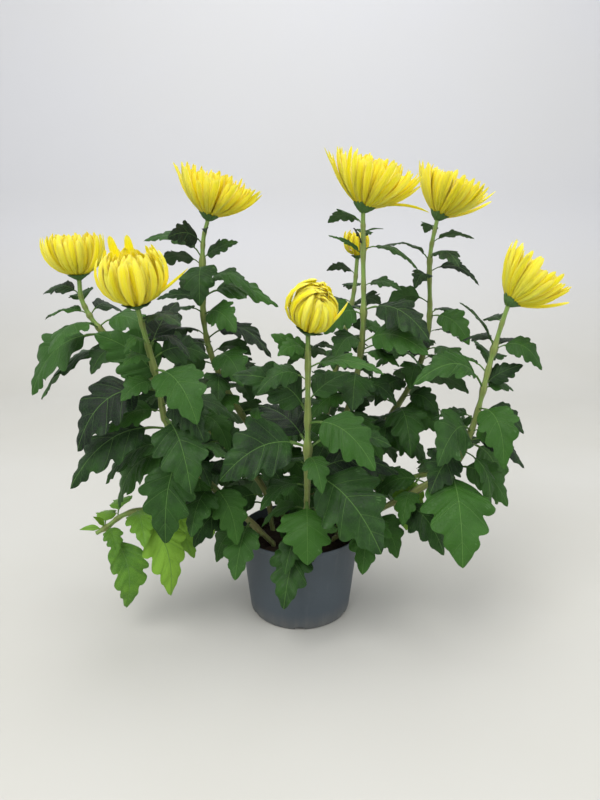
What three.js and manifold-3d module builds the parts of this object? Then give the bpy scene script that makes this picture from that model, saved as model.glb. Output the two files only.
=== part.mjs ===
// Potted chrysanthemum: a grow pot full of soil, eight leafy stems that each carry one
// incurved yellow bloom, and two low side shoots.
// Millimetres, +Z up. The origin is at the middle of the pot's foot, and the plant's
// front, where the half-open bloom stands, looks along -Y.
import * as THREE from 'three';
import * as BufferGeometryUtils from 'three/addons/utils/BufferGeometryUtils.js';
import Module from 'manifold-3d';

const wasm = await Module();
wasm.setup();

// Pot
const POT_HEIGHT = 92;
const RIM_RADIUS = 65;
const FOOT_RADIUS = 54.6;
const WALL = 1.5;
const RIM_BAND = 5;
const RIM_PROUD = 0.6;
const POT_SIDES = 24;
const FOOT_ROUNDING = 2;
const FOOT_RING = 9;
const FLOOR_LIFT = 2.5;
const FLOOR_THICKNESS = 1.8;
const PAD_RADIUS = 18;
const NOTCHES = 6;
const NOTCH_WIDTH = 11;
const NOTCH_HEIGHT = 4.5;
const DRAIN_CIRCLE = 32;
const DRAIN_RADIUS = 4;

// Soil
const GAP = 0.3;
const SOIL_TOP = 80;
const SOIL_CRUMB = 1.6;
const SOIL_RINGS = 3;

// Stems
const STEM_SIDES = 5;
const STEM_RADIUS = 2.7;
const STEM_TOP_RADIUS = 2;
const STEM_FOOT = 54;
const STEM_COLLAR = 84;
const STEM_STEP = 30;
const STEM_END = 0.985;
const CUP_HEIGHT = 6;
const CUP_SIDES = 7;
const CUP_SHARE = 0.16;
const CUP_FOOT = 2;

// Leaves, as parts of the blade's length
const PETIOLE = 0.25;
const PETIOLE_HALF_WIDTH = 0.022;
const BIG_LEAF = {
  rib: [0, 0.35, 0.7, 1],
  edge: [[0, 0.024], [0.2, 0.28], [0.42, 0.38], [0.47, 0.26], [0.68, 0.29], [0.74, 0.16]],
};
const SMALL_LEAF = {
  rib: [0, 0.5, 1],
  edge: [[0, 0.03], [0.34, 0.34], [0.45, 0.23], [0.66, 0.26], [0.76, 0.13]],
};
const BRACT = {
  rib: [0, 1],
  edge: [[0, 0.06], [0.3, 0.16], [0.6, 0.12]],
};
const SMALL_LEAF_LENGTH = 68;
const BRACT_LENGTH = 30;
const LEAF_TWIST = [-0.3, 0.3];
const LEAF_FOLD = [-0.1, 0.25];
const LEAF_WAVE = [0.08, 0.16];
const WAVES = 14;
const LEAF_THICKNESS = 1;
const PETIOLE_THICKNESS = 1.8;
const LEAF_HALF_WIDTH = 0.38;
const SAMPLE_STEP = 6;
const LEAF_CLEARANCE = 8.5;
const SAME_STEM_CLEARANCE = 8;
const STEM_CLEARANCE = 8;
const OWN_STEM_CLEARANCE = 4;
const POT_CLEARANCE = 4;
const FLOOR_CLEARANCE = 6;
const LEAF_SPACING = 44;
const DENSE_BELOW = 0.6;
const TOPMOST_LEAF = 0.86;
const GOLDEN_ANGLE = 2.39996;
const FULL_LEAF = [72, 88];
const LEAF_TAPER = [1, 0.65];
const YOUNG_LEAF = 0.65;

const ROOT_SHARE = 0.3;
const FRONT_SHIFTS = [0, -12, 12, -24, 24, -36, 36];
const SPIRAL_TRIES = [
  [0, 1], [0.35, 1], [-0.35, 1], [0.7, 1], [-0.7, 1], [0, 0.75], [0.5, 0.75], [-0.5, 0.75],
  [1.1, 0.85], [-1.1, 0.85],
];

// Petals: where each section lies along the petal, and its width there. A root's height
// on the core is the sine of its angle from the core's middle.
const OPEN_FORM = {
  sections: [[0, 0.35], [0.42, 1], [0.8, 0.75]],
  innerSections: [[0, 0.4], [0.6, 1]],
  width: 0.17,
  innerLength: 0.62,
  highestRoot: 0.98,
};
const CURLED_FORM = {
  sections: [[0, 0.3], [0.3, 1], [0.65, 1]],
  innerSections: [[0, 0.3], [0.3, 1], [0.65, 1]],
  width: 0.2,
  innerLength: 0.85,
  highestRoot: 0.5,
};
const LOWEST_ROOT = 0.12;
const CORE_SIDES = 8;
const CORE_SHARE = 0.19;
const CORE_LIFT = 3.5;

// Each stem: its way from the soil up, its bloom, and its front leaves by hand.
// A leaf row is the place along the stem (0 at the soil, 1 at the top), the leaf's tip,
// its width as a multiple of the usual one, how far it arches, as a part of its length, and
// how far its upper face turns from the sky (0) to the front (1).
const STEMS = {
  a: {
    path: [[-30, 8], [-44, 10, 140], [-110, 6, 215], [-193, 0, 298], [-217, 0, 333], [-220, 0, 361]],
    bloom: { lean: [-0.05, -0.05], petals: 22, out: 10, shut: 96, length: 49, seed: 11 },
    leaves: [
      [0.62, -272, -15, 243, 1, 0.2, 0.7],
      [0.56, -278, 20, 230, 0.8, 0.2, 0.3],
      [0.73, -264, 15, 317, 0.7, 0.15, 0.4],
    ],
  },
  b: {
    path: [
      [-28, -25], [-60, -38, 125], [-112, -56, 190], [-127, -62, 230], [-131, -66, 265],
      [-138, -68, 302], [-145, -70, 338],
    ],
    bloom: { lean: [-0.05, -0.25], petals: 24, out: 3, shut: 116, length: 56, seed: 12 },
    leaves: [
      [0.64, -185, -82, 313, 1.05, 0.15, 0.9],
      [0.64, -200, -95, 210, 1, 0.25, 0.7],
      [0.81, -194, -72, 336, 1, 0.15, 0.8],
      [0.84, -158, -64, 332, 1, 0.1, 0.8],
      [0.8, -118, -60, 338, 1, 0.1, 0.9],
      [0.83, -96, -90, 294, 0.6, 0.3, 0.2],
      [0.83, -152, -95, 299, 0.7, 0.35, 0.1],
      [0.73, -89, -108, 239, 1.1, 0.2, 0.8],
      [0.51, -95, -118, 179, 1.05, 0.2, 0.7],
      [0.46, -211, -92, 173, 0.75, 0.2, 0.5],
      [0.38, -189, -60, 165, 0.7, 0.2, 0.3],
      [0.34, -183, -70, 134, 0.8, 0.25, 0.6],
      [0.35, -123, -105, 125, 1, 0.2, 0.8],
      [0.77, -87, -50, 286, 1, 0.2, 0.7],
      [0.3, -99, -60, 130, 0.8, 0.2, 0.6],
      [0.26, -61, -75, 108, 0.9, 0.2, 0.6],
    ],
  },
  c: {
    path: [[-18, 32], [-40, 44, 160], [-85, 52, 240], [-105, 55, 301], [-105, 58, 387], [-98, 60, 421]],
    bloom: { lean: [0.32, -0.1], petals: 24, out: 24, shut: 56, length: 58, seed: 13 },
    leaves: [
      [0.77, -167, 52, 396, 0.7, 0.25, 0.35],
      [0.77, -65, 45, 395, 0.9, 0.1, 0.7],
      [0.75, -104, 20, 330, 1.3, 0.3, 0.5],
      [0.7, -48, 45, 338, 0.8, 0.35, 0.3],
      [0.68, -24, 60, 325, 0.7, 0.2, 0.6],
      [0.67, -156, 50, 335, 0.8, 0.15, 0.5],
      [0.64, -66, 25, 304, 1, 0.2, 0.7],
      [0.57, -31, 35, 273, 0.8, 0.3, 0.4],
    ],
  },
  d: {
    path: [[14, 18], [30, 14, 160], [55, 6, 240], [64, 5, 307], [63, 10, 387], [62, 10, 426]],
    bloom: { lean: [0.33, -0.1], petals: 28, out: 24, shut: 56, length: 60, seed: 14 },
    leaves: [
      [0.8, 118, 0, 366, 0.55, 0.2, 0.4],
      [0.78, 28, 15, 401, 0.5, 0.1, 0.3],
      [0.87, 83, 8, 407, 0.35, 0.1, 0.5],
      [0.81, 51, 0, 407, 0.6, 0.1, 0.7],
      [0.65, 124, -40, 301, 0.9, 0.2, 0.6],
      [0.56, 124, -35, 288, 1, 0.2, 0.7],
    ],
  },
  e: {
    path: [[32, 25], [75, 40, 165], [125, 55, 240], [143, 60, 301], [142, 66, 377], [149, 70, 422]],
    bloom: { lean: [0.43, -0.1], petals: 24, out: 30, shut: 64, length: 56, seed: 15 },
    leaves: [
      [0.79, 86, 60, 390, 0.6, 0.2, 0.3],
      [0.76, 195, 55, 349, 0.5, 0.25, 0.3],
      [0.64, 180, 25, 289, 0.9, 0.2, 0.6],
    ],
  },
  f: {
    path: [
      [36, -14], [80, -20, 118], [126, -24, 147], [158, -26, 172], [170, -26, 199],
      [179, -24, 230], [187, -22, 271], [196, -20, 310], [203, -20, 337],
    ],
    bloom: { lean: [0.8, -0.15], petals: 24, out: 30, shut: 66, length: 54, seed: 16 },
    leaves: [
      [0.81, 152, -30, 338, 0.55, 0.1, 0.3],
      [0.81, 231, -45, 275, 0.9, 0.3, 0.5],
      [0.81, 233, -5, 291, 0.8, 0.2, 0.3],
      [0.7, 219, -40, 277, 0.9, 0.1, 0.6],
      [0.69, 104, -70, 266, 0.6, 0.25, 0.4],
      [0.63, 190, -80, 188, 0.9, 0.3, 0.7],
      [0.54, 128, -80, 191, 1.2, 0.25, 0.9],
      [0.45, 184, -60, 131, 0.5, 0.3, 0.3],
      [0.35, 150, -95, 101, 1.1, 0.2, 0.7],
      [0.49, 211, -10, 122, 0.8, 0.2, 0.6],
    ],
  },
  g: {
    path: [[4, -38], [6, -50, 120], [7, -60, 169], [7, -72, 252], [7, -75, 316]],
    bloom: { lean: [0.1, -0.2], petals: 15, out: 6, shut: 172, length: 62, seed: 17 },
    leaves: [
      [0.53, 73, -118, 121, 1.1, 0.15, 0.8],
      [0.4, 7, -122, 99, 1.5, 0.2, 0.3],
      [0.61, -73, -95, 182, 1.1, 0.2, 0.6],
      [0.68, 66, -112, 198, 0.95, 0.2, 0.6],
      [0.86, 73, -98, 281, 0.6, 0.15, 0.45],
      [0.69, -61, -80, 277, 0.9, 0.2, 0.7],
      [0.88, -26, -85, 313, 0.9, 0.1, 0.7],
      [0.93, -11, -70, 325, 0.8, 0.05, 0.8],
      [0.93, 27, -90, 319, 0.8, 0.05, 0.8],
      [0.91, 31, -105, 302, 0.7, 0.25, 0.2],
      [0.74, 48, -45, 273, 0.8, 0.1, 0.7],
      [0.6, 86, -70, 207, 0.9, 0.2, 0.6],
      [0.61, -42, -50, 232, 0.9, 0.15, 0.7],
      [0.5, 99, -80, 170, 0.8, 0.2, 0.6],
    ],
  },
  h: {
    path: [[10, 42], [20, 55, 150], [40, 68, 250], [59, 75, 333], [64, 80, 381]],
    bloom: { lean: [-0.1, -0.1], petals: 8, out: 10, shut: 130, length: 32, seed: 18 },
    leaves: [],
  },
  left: {
    path: [
      [-42, -5], [-62, -22, 115], [-100, -34, 132], [-170, -42, 128], [-196, -45, 113],
      [-208, -46, 106],
    ],
    leaves: [
      [0.81, -178, -60, 30, 0.8, 0.25, 0.7],
      [0.6, -128, -75, 53, 0.8, 0.3, 0.7],
      [0.41, -111, -60, 73, 0.85, 0.2, 0.7],
      [0.86, -224, -48, 111, 1, 0.1, 0.6],
      [0.83, -205, -46, 130, 1, 0.1, 0.6],
      [0.79, -179, -60, 95, 0.9, 0.2, 0.6],
      [0.35, -90, -30, 100, 0.8, 0.2, 0.6],
    ],
  },
  right: {
    path: [[40, 0], [66, 4, 115], [104, 8, 140], [140, 8, 150], [165, 4, 150]],
    leaves: [[0.7, 114, -50, 94, 0.9, 0.25, 0.6]],
  },
};
const UP = new THREE.Vector3(0, 0, 1);
const FRONT = new THREE.Vector3(0, -1, 0.3).normalize();

// Seeds of the random draws
const FRONT_SEED = 7919;
const SPIRAL_SEED = 104729;
const PETAL_SEED = 6151;
const SOIL_SEED = 4001;
const SEED_RANGE = 1e9;

// A small repeatable source of random numbers between 0 and 1
function randomFrom(seed) {
  let state = seed;
  return () => {
    state = (Math.imul(state, 1664525) + 1013904223) >>> 0;
    return state / 4294967296;
  };
}

function between(low, high, share) {
  return low + (high - low) * share;
}

function radians(degrees) {
  return (degrees * Math.PI) / 180;
}

function vector(x, y, z) {
  return new THREE.Vector3(x, y, z);
}

// Solids

function solidOf(points, triangles) {
  return new wasm.Manifold(new wasm.Mesh({
    numProp: 3,
    vertProperties: new Float32Array(points.flatMap((point) => [point.x, point.y, point.z])),
    triVerts: new Uint32Array(triangles.flat()),
  }));
}

function solidOfGeometry(geometry) {
  geometry.deleteAttribute('normal');
  geometry.deleteAttribute('uv');
  const merged = BufferGeometryUtils.mergeVertices(geometry, 1e-4);
  return new wasm.Manifold(new wasm.Mesh({
    numProp: 3,
    vertProperties: merged.attributes.position.array,
    triVerts: new Uint32Array(merged.index.array),
  }));
}

function joined(solids) {
  return solids.reduce((whole, piece) => whole.add(piece));
}

function meshOf(name, solid, material) {
  const { vertProperties, triVerts } = solid.getMesh();
  const geometry = new THREE.BufferGeometry();
  geometry.setAttribute('position', new THREE.BufferAttribute(vertProperties, 3));
  geometry.setIndex(new THREE.BufferAttribute(triVerts, 1));
  geometry.computeVertexNormals();
  const mesh = new THREE.Mesh(geometry, material);
  mesh.name = name;
  return mesh;
}

// A closed skin over rings of points that run anticlockwise about the way ahead.
// A last ring of one point makes a pointed end.
function loft(rings) {
  const sides = rings[0].length;
  const triangles = [];
  for (let side = 1; side < sides - 1; side += 1) {
    triangles.push([0, side + 1, side]);
  }
  for (let ring = 0; ring < rings.length - 1; ring += 1) {
    const here = ring * sides;
    const next = here + sides;
    const pointed = rings[ring + 1].length === 1;
    for (let side = 0; side < sides; side += 1) {
      const after = (side + 1) % sides;
      if (pointed) {
        triangles.push([here + side, here + after, next]);
      } else {
        triangles.push([here + side, here + after, next + after]);
        triangles.push([here + side, next + after, next + side]);
      }
    }
  }
  if (rings.at(-1).length > 1) {
    const last = (rings.length - 1) * sides;
    for (let side = 1; side < sides - 1; side += 1) {
      triangles.push([last, last + side, last + side + 1]);
    }
  }
  return solidOf(rings.flat(), triangles);
}

function circle(centre, across, along, radius, sides) {
  return Array.from({ length: sides }, (_, side) => {
    const turn = (side / sides) * 2 * Math.PI;
    return centre.clone()
      .addScaledVector(across, radius * Math.cos(turn))
      .addScaledVector(along, radius * Math.sin(turn));
  });
}

function uprightCylinder(x, y, bottom, top, radius, sides) {
  const level = (z) => circle(vector(x, y, z), vector(1, 0, 0), vector(0, 1, 0), radius, sides);
  return loft([level(bottom), level(top)]);
}

function lathe(profile, sides) {
  const outline = profile.map(([radius, height]) => new THREE.Vector2(radius, height));
  const geometry = new THREE.LatheGeometry(outline, sides);
  geometry.rotateX(Math.PI / 2);
  return solidOfGeometry(geometry);
}

// Pot

function wallRadius(height) {
  return between(FOOT_RADIUS, RIM_RADIUS, height / POT_HEIGHT);
}

function makePot() {
  const bandFoot = POT_HEIGHT - RIM_BAND;
  const floorTop = FLOOR_LIFT + FLOOR_THICKNESS;
  const outline = [
    [0, 0], [PAD_RADIUS, 0], [PAD_RADIUS + 2, FLOOR_LIFT], [FOOT_RADIUS - FOOT_RING - 2, FLOOR_LIFT],
    [FOOT_RADIUS - FOOT_RING, 0], [FOOT_RADIUS - FOOT_ROUNDING, 0],
    [wallRadius(FOOT_ROUNDING), FOOT_ROUNDING],
    [wallRadius(bandFoot) - RIM_PROUD, bandFoot], [wallRadius(bandFoot), bandFoot], [RIM_RADIUS, POT_HEIGHT],
    [RIM_RADIUS - WALL, POT_HEIGHT], [wallRadius(floorTop) - WALL, floorTop], [0, floorTop],
  ];
  let pot = lathe(outline, POT_SIDES);
  for (let index = 0; index < NOTCHES; index += 1) {
    const turn = ((index + 0.5) / NOTCHES) * 2 * Math.PI;
    const notch = new THREE.BoxGeometry(FOOT_RING, NOTCH_WIDTH, 2 * NOTCH_HEIGHT);
    notch.translate(FOOT_RADIUS + 0.5, 0, 0);
    notch.rotateZ(turn);
    const drain = uprightCylinder(
      DRAIN_CIRCLE * Math.cos(turn), DRAIN_CIRCLE * Math.sin(turn), -1, floorTop + 1, DRAIN_RADIUS, 6,
    );
    pot = pot.subtract(solidOfGeometry(notch)).subtract(drain);
  }
  return pot;
}

// Stems

function pathOf(stem) {
  const [foot, ...rest] = stem.path;
  const points = [vector(...foot, STEM_COLLAR), ...rest.map((point) => vector(...point))];
  return new THREE.CatmullRomCurve3(points, false, 'catmullrom', 0.5);
}

function lengthOf(path) {
  return path.points.slice(1).reduce(
    (total, point, index) => total + point.distanceTo(path.points[index]), 0,
  );
}

function stemRing(path, along) {
  const ahead = path.getTangent(along);
  const across = vector(0, 1, 0).cross(ahead).normalize();
  const radius = between(STEM_RADIUS, STEM_TOP_RADIUS, along);
  return circle(path.getPoint(along), across, ahead.clone().cross(across), radius, STEM_SIDES);
}

function makeStalk(path) {
  const [x, y] = path.points[0].toArray();
  const level = (z) => circle(vector(x, y, z), vector(1, 0, 0), vector(0, 1, 0), STEM_RADIUS, STEM_SIDES);
  const rings = [level(STEM_FOOT), level(STEM_COLLAR)];
  const steps = Math.round(lengthOf(path) / STEM_STEP);
  for (let step = 1; step <= steps; step += 1) {
    rings.push(stemRing(path, (STEM_END * step) / steps));
  }
  return loft(rings);
}

function axisOf(bloom) {
  return vector(...bloom.lean, 1).normalize();
}

// The green cup of bracts that a bloom sits on, widening up to the bloom's foot
function makeCup(path, bloom) {
  const axis = axisOf(bloom);
  const across = vector(0, 1, 0).cross(axis).normalize();
  const along = axis.clone().cross(across);
  const top = path.getPoint(1);
  const wide = bloom.length * CUP_SHARE;
  const rings = [[1, CUP_FOOT], [0.5, 0.7 * wide], [0, wide]].map(([drop, radius]) => {
    const centre = top.clone().addScaledVector(axis, -drop * CUP_HEIGHT);
    return circle(centre, across, along, radius, CUP_SIDES);
  });
  return loft(rings);
}

// Leaves. A leaf springs from the middle of its stem, rises over its arch and falls to
// its tip. In its own outline u runs from the blade's foot at 0 to the tip at 1, with the
// leaf stalk below 0, and v runs across; both are parts of the blade's length.

function leafOn(path, along, tip, wide, arch, facing, random) {
  const base = path.getPoint(along);
  const chord = tip.clone().sub(base);
  const length = chord.length();
  chord.normalize();
  const squareToChord = (way) => way.clone().addScaledVector(chord, -way.dot(chord)).normalize();
  const rise = squareToChord(UP);
  const across = squareToChord(UP.clone().lerp(FRONT, facing)).cross(chord)
    .applyAxisAngle(chord, between(...LEAF_TWIST, random()));
  return {
    base,
    tip,
    wide,
    length,
    across,
    blade: length / (1 + PETIOLE),
    control: base.clone().lerp(tip, 0.4).addScaledVector(rise, 2 * arch * length),
    fold: between(...LEAF_FOLD, random()),
    wave: between(...LEAF_WAVE, random()),
    phase: between(0, 2 * Math.PI, random()),
  };
}

function leafPoint(leaf, u, v, lift = 0) {
  const share = (u + PETIOLE) / (1 + PETIOLE);
  const start = leaf.control.clone().sub(leaf.base);
  const end = leaf.tip.clone().sub(leaf.control);
  const ahead = start.clone().lerp(end, share).normalize();
  const normal = ahead.cross(leaf.across).normalize();
  const middle = leaf.base.clone().lerp(leaf.control, share)
    .lerp(leaf.control.clone().lerp(leaf.tip, share), share);
  const aside = leaf.wide * v * leaf.blade;
  const ripple = leaf.wave * Math.sin(WAVES * u + leaf.phase + (v < 0 ? 1.7 : 0));
  return middle.addScaledVector(leaf.across, aside)
    .addScaledVector(normal, Math.abs(aside) * (ripple - leaf.fold) + lift);
}

// The triangles of a flat half leaf between its rib and its edge, the same on both faces
function halfLeafTriangles({ rib, edge }) {
  const outline = [...rib.map((u) => [u, 0]), ...edge.toReversed()];
  const contour = outline.map(([u, v]) => new THREE.Vector2(u, v));
  return THREE.ShapeUtils.triangulateShape(contour, []).map((triangle) => {
    const [a, b, c] = triangle.map((index) => contour[index]);
    const twiceArea = (b.x - a.x) * (c.y - a.y) - (b.y - a.y) * (c.x - a.x);
    return twiceArea > 0 ? triangle : triangle.toReversed();
  });
}

// The flat plan of a leaf: its points, its faces, and its rim all the way round
function leafPlan(outline) {
  const ribs = outline.rib.length;
  const edges = outline.edge.length;
  const left = outline.edge.toReversed();
  const leftRoot = ribs + 2 * edges;
  const rightRoot = leftRoot + 1;
  const leftFoot = ribs + edges - 1;
  const rightFoot = leftFoot + edges;
  const spots = [
    ...outline.rib.map((u) => [u, 0]),
    ...left,
    ...left.map(([u, v]) => [u, -v]),
    [-PETIOLE, PETIOLE_HALF_WIDTH],
    [-PETIOLE, -PETIOLE_HALF_WIDTH],
  ];
  const half = halfLeafTriangles(outline);
  const mirrored = half.map((triangle) => (
    triangle.map((index) => (index < ribs ? index : index + edges)).toReversed()
  ));
  const stalk = [
    [leftRoot, rightRoot, rightFoot], [leftRoot, rightFoot, 0], [leftRoot, 0, leftFoot],
  ];
  const rim = [
    rightRoot,
    ...left.map((_, index) => rightFoot - index),
    ribs - 1,
    ...left.map((_, index) => ribs + index),
    leftRoot,
  ];
  return { spots, faces: [...half, ...mirrored, ...stalk], rim };
}

const BIG_PLAN = leafPlan(BIG_LEAF);
const SMALL_PLAN = leafPlan(SMALL_LEAF);
const BRACT_PLAN = leafPlan(BRACT);

function planFor(leaf) {
  if (leaf.length < BRACT_LENGTH) {
    return BRACT_PLAN;
  }
  return leaf.length < SMALL_LEAF_LENGTH ? SMALL_PLAN : BIG_PLAN;
}

function makeLeaf(leaf) {
  const { spots, faces, rim } = planFor(leaf);
  const count = spots.length;
  const halfThick = ([u, v]) => {
    const atRib = between(PETIOLE_THICKNESS, LEAF_THICKNESS, Math.max(u, 0));
    return (u > 0 && v !== 0 ? LEAF_THICKNESS : atRib) / 2;
  };
  const upper = spots.map((spot) => leafPoint(leaf, ...spot, halfThick(spot)));
  const lower = spots.map((spot) => leafPoint(leaf, ...spot, -halfThick(spot)));
  const triangles = [
    ...faces,
    ...faces.map(([a, b, c]) => [count + a, count + c, count + b]),
  ];
  rim.forEach((from, index) => {
    const to = rim[(index + 1) % rim.length];
    triangles.push([to, from, count + from], [to, count + from, count + to]);
  });
  return solidOf([...upper, ...lower], triangles);
}

// Room for leaves. Each leaf, stem and bloom already placed is kept as sample points or
// as a dome, and a new leaf is set where its own sample points stay clear of them all.

function leafSamples(leaf) {
  const samples = [];
  const rows = Math.ceil(leaf.blade / SAMPLE_STEP) + 1;
  for (let row = 0; row <= rows; row += 1) {
    const u = between(-0.08, 1, row / rows);
    const half = u <= 0 ? 0 : LEAF_HALF_WIDTH * Math.sqrt(Math.sin(Math.PI * u ** 0.8));
    const columns = Math.ceil((2 * half * leaf.wide * leaf.blade) / SAMPLE_STEP);
    for (let column = 0; column <= columns; column += 1) {
      const v = columns > 0 ? between(-half, half, column / columns) : 0;
      samples.push({ point: leafPoint(leaf, u, v), outer: u > ROOT_SHARE });
    }
  }
  return samples;
}

function inPot(point) {
  const radius = Math.hypot(point.x, point.y);
  return point.z < POT_HEIGHT + POT_CLEARANCE && radius < wallRadius(point.z) + POT_CLEARANCE;
}

function inDome(point, dome) {
  const apart = point.clone().sub(dome.centre);
  return apart.length() < dome.reach && apart.dot(dome.axis) > -3;
}

function hasRoom(samples, owner, placed) {
  if (samples.some(({ point }) => point.z < FLOOR_CLEARANCE || inPot(point))) {
    return false;
  }
  if (samples.some(({ point }) => placed.domes.some((dome) => inDome(point, dome)))) {
    return false;
  }
  return placed.points.every((other) => samples.every(({ point, outer }) => {
    const same = other.owner === owner;
    const clearance = same ? other.sameClearance : other.clearance;
    return (same && !outer) || point.distanceToSquared(other.point) >= clearance ** 2;
  }));
}

// Sets the first of the leaves offered that has room, if any has
function placeLeaf(owner, offers, placed, leaves) {
  for (const leaf of offers) {
    const samples = leafSamples(leaf);
    if (hasRoom(samples, owner, placed)) {
      leaves[owner].push(leaf);
      samples.forEach(({ point }) => placed.points.push({
        point, owner, clearance: LEAF_CLEARANCE, sameClearance: SAME_STEM_CLEARANCE,
      }));
      return;
    }
  }
}

// A leaf measured from the front keeps its place there and moves nearer or farther
function frontOffers(path, [along, x, y, z, wide, arch, facing], random) {
  const seed = Math.floor(random() * SEED_RANGE);
  return FRONT_SHIFTS.map((shift) => (
    leafOn(path, along, vector(x, y + shift, z), wide, arch, facing, randomFrom(seed))
  ));
}

// The other leaves follow the stem's spiral, hang lower down and reach up near the bloom
function spiralOffers(path, along, azimuth, size, random) {
  const climb = between(-0.7, 0.15, along) + between(-0.15, 0.15, random());
  const wide = between(0.85, 1.1, random());
  const arch = between(0.17, 0.28, random());
  const seed = Math.floor(random() * SEED_RANGE);
  return SPIRAL_TRIES.map(([turn, scale]) => {
    const tip = path.getPoint(along).add(vector(
      Math.cos(azimuth + turn) * Math.cos(climb),
      Math.sin(azimuth + turn) * Math.cos(climb),
      Math.sin(climb),
    ).multiplyScalar(size * scale));
    return leafOn(path, along, tip, wide, arch, 0, randomFrom(seed));
  });
}

function growLeaves(paths) {
  const placed = { points: [], domes: [] };
  const leaves = {};
  for (const [owner, path] of Object.entries(paths)) {
    const { bloom } = STEMS[owner];
    leaves[owner] = [];
    const count = Math.round(lengthOf(path) / SAMPLE_STEP);
    for (let index = 0; index <= count; index += 1) {
      placed.points.push({
        point: path.getPoint(index / count),
        owner,
        clearance: STEM_CLEARANCE,
        sameClearance: OWN_STEM_CLEARANCE,
      });
    }
    if (bloom) {
      placed.domes.push({ centre: path.getPoint(1), axis: axisOf(bloom), reach: bloomReach(bloom) });
    }
  }
  for (const [owner, path] of Object.entries(paths)) {
    const random = randomFrom(owner.charCodeAt(0) * FRONT_SEED);
    for (const row of STEMS[owner].leaves) {
      placeLeaf(owner, frontOffers(path, row, random), placed, leaves);
    }
  }
  for (const [owner, path] of Object.entries(paths)) {
    const random = randomFrom(owner.charCodeAt(0) * SPIRAL_SEED);
    const young = STEMS[owner].bloom ? 1 : YOUNG_LEAF;
    const count = Math.round(lengthOf(path) / LEAF_SPACING);
    const first = random() * 2 * Math.PI;
    for (let index = 1; index < count; index += 1) {
      const along = (TOPMOST_LEAF * index) / count;
      const azimuth = first + index * GOLDEN_ANGLE;
      const size = between(...FULL_LEAF, random()) * between(...LEAF_TAPER, along) * young;
      if (along < DENSE_BELOW || index % 2 === 0) {
        placeLeaf(owner, spiralOffers(path, along, azimuth, size, random), placed, leaves);
      }
    }
  }
  return leaves;
}

// Blooms, in a frame with the bloom's foot at the origin and its axis along +Z. A petal
// leaves the core at one slope and bends evenly to another, so an outer petal spreads and
// curls up, and an inner one stands or folds over the middle.

function petalRings(petal) {
  const bend = petal.shut - petal.out;
  const outward = vector(Math.cos(petal.turn), Math.sin(petal.turn), 0);
  const across = vector(-Math.sin(petal.turn), Math.cos(petal.turn), 0);
  const middle = (share) => {
    const slope = petal.out + bend * share;
    const reach = petal.foot + (petal.length * (Math.sin(slope) - Math.sin(petal.out))) / bend;
    const height = petal.lift + (petal.length * (Math.cos(petal.out) - Math.cos(slope))) / bend;
    return outward.clone().multiplyScalar(reach).setZ(height);
  };
  const rings = petal.sections.map(([share, widthShare]) => {
    const slope = petal.out + bend * share;
    const inward = outward.clone().multiplyScalar(-Math.sin(slope)).setZ(Math.cos(slope));
    const width = petal.width * widthShare;
    const at = (aside, inside) => middle(share)
      .addScaledVector(across, aside * width)
      .addScaledVector(inward, inside * width);
    return [at(0, -0.2), at(0.5, 0.2), at(-0.5, 0.2)];
  });
  return [...rings, [middle(1)]];
}

function petalsOf(bloom) {
  const random = randomFrom(bloom.seed * PETAL_SEED);
  const root = 0.6 * CORE_SHARE * bloom.length;
  const form = isCurled(bloom) ? CURLED_FORM : OPEN_FORM;
  return Array.from({ length: bloom.petals }, (_, index) => {
    const share = index / (bloom.petals - 1);
    const elevation = Math.asin(between(LOWEST_ROOT, form.highestRoot, share));
    const innerShut = Math.max(bloom.shut, 100);
    return {
      turn: index * GOLDEN_ANGLE + between(-0.12, 0.12, random()),
      out: Math.max(radians(bloom.out), elevation) + between(-0.05, 0.05, random()),
      shut: radians(between(bloom.shut, innerShut, share) + between(-8, 8, random())),
      length: bloom.length * between(1, form.innerLength, share) * between(0.9, 1.08, random()),
      width: bloom.length * form.width,
      sections: share > 0.5 ? form.innerSections : form.sections,
      foot: root * Math.cos(elevation),
      lift: CORE_LIFT + root * Math.sin(elevation),
    };
  });
}

// The half-open bloom's petals curl right over its middle
function isCurled(bloom) {
  return bloom.shut > 150;
}

function bloomReach(bloom) {
  return bloom.length * (isCurled(bloom) ? 0.72 : 0.95) + 6;
}

function makeBloom(path, bloom) {
  const wide = bloom.length * CORE_SHARE;
  const core = lathe([
    [0, GAP], [0.7 * wide, GAP], [wide, CORE_LIFT], [0.75 * wide, CORE_LIFT + 0.8 * wide],
    [0, CORE_LIFT + 1.2 * wide],
  ], CORE_SIDES);
  const flower = joined([core, ...petalsOf(bloom).map((petal) => loft(petalRings(petal)))]);
  const turn = new THREE.Quaternion().setFromUnitVectors(UP, axisOf(bloom));
  return { flower, place: path.getPoint(1), turn };
}

function makeSoil(paths) {
  const random = randomFrom(SOIL_SEED);
  const bottom = FLOOR_LIFT + FLOOR_THICKNESS + GAP;
  const level = (z, share) => circle(
    vector(0, 0, z), vector(1, 0, 0), vector(0, 1, 0), (wallRadius(z) - WALL - GAP) * share, POT_SIDES,
  );
  const rings = [level(bottom, 1), level(SOIL_TOP, 1)];
  for (let ring = SOIL_RINGS - 1; ring > 0; ring -= 1) {
    rings.push(level(SOIL_TOP, ring / SOIL_RINGS).map(
      (point) => point.setZ(SOIL_TOP + between(-SOIL_CRUMB, SOIL_CRUMB, random())),
    ));
  }
  rings.push([vector(0, 0, SOIL_TOP)]);
  return Object.values(paths).reduce((soil, path) => {
    const [x, y] = path.points[0].toArray();
    return soil.subtract(uprightCylinder(
      x, y, STEM_FOOT - GAP, SOIL_TOP + 10, STEM_RADIUS + GAP / Math.cos(Math.PI / STEM_SIDES), STEM_SIDES,
    ));
  }, loft(rings));
}

// Materials

function plain(color, roughness) {
  return new THREE.MeshStandardMaterial({ color, roughness, metalness: 0 });
}

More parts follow.
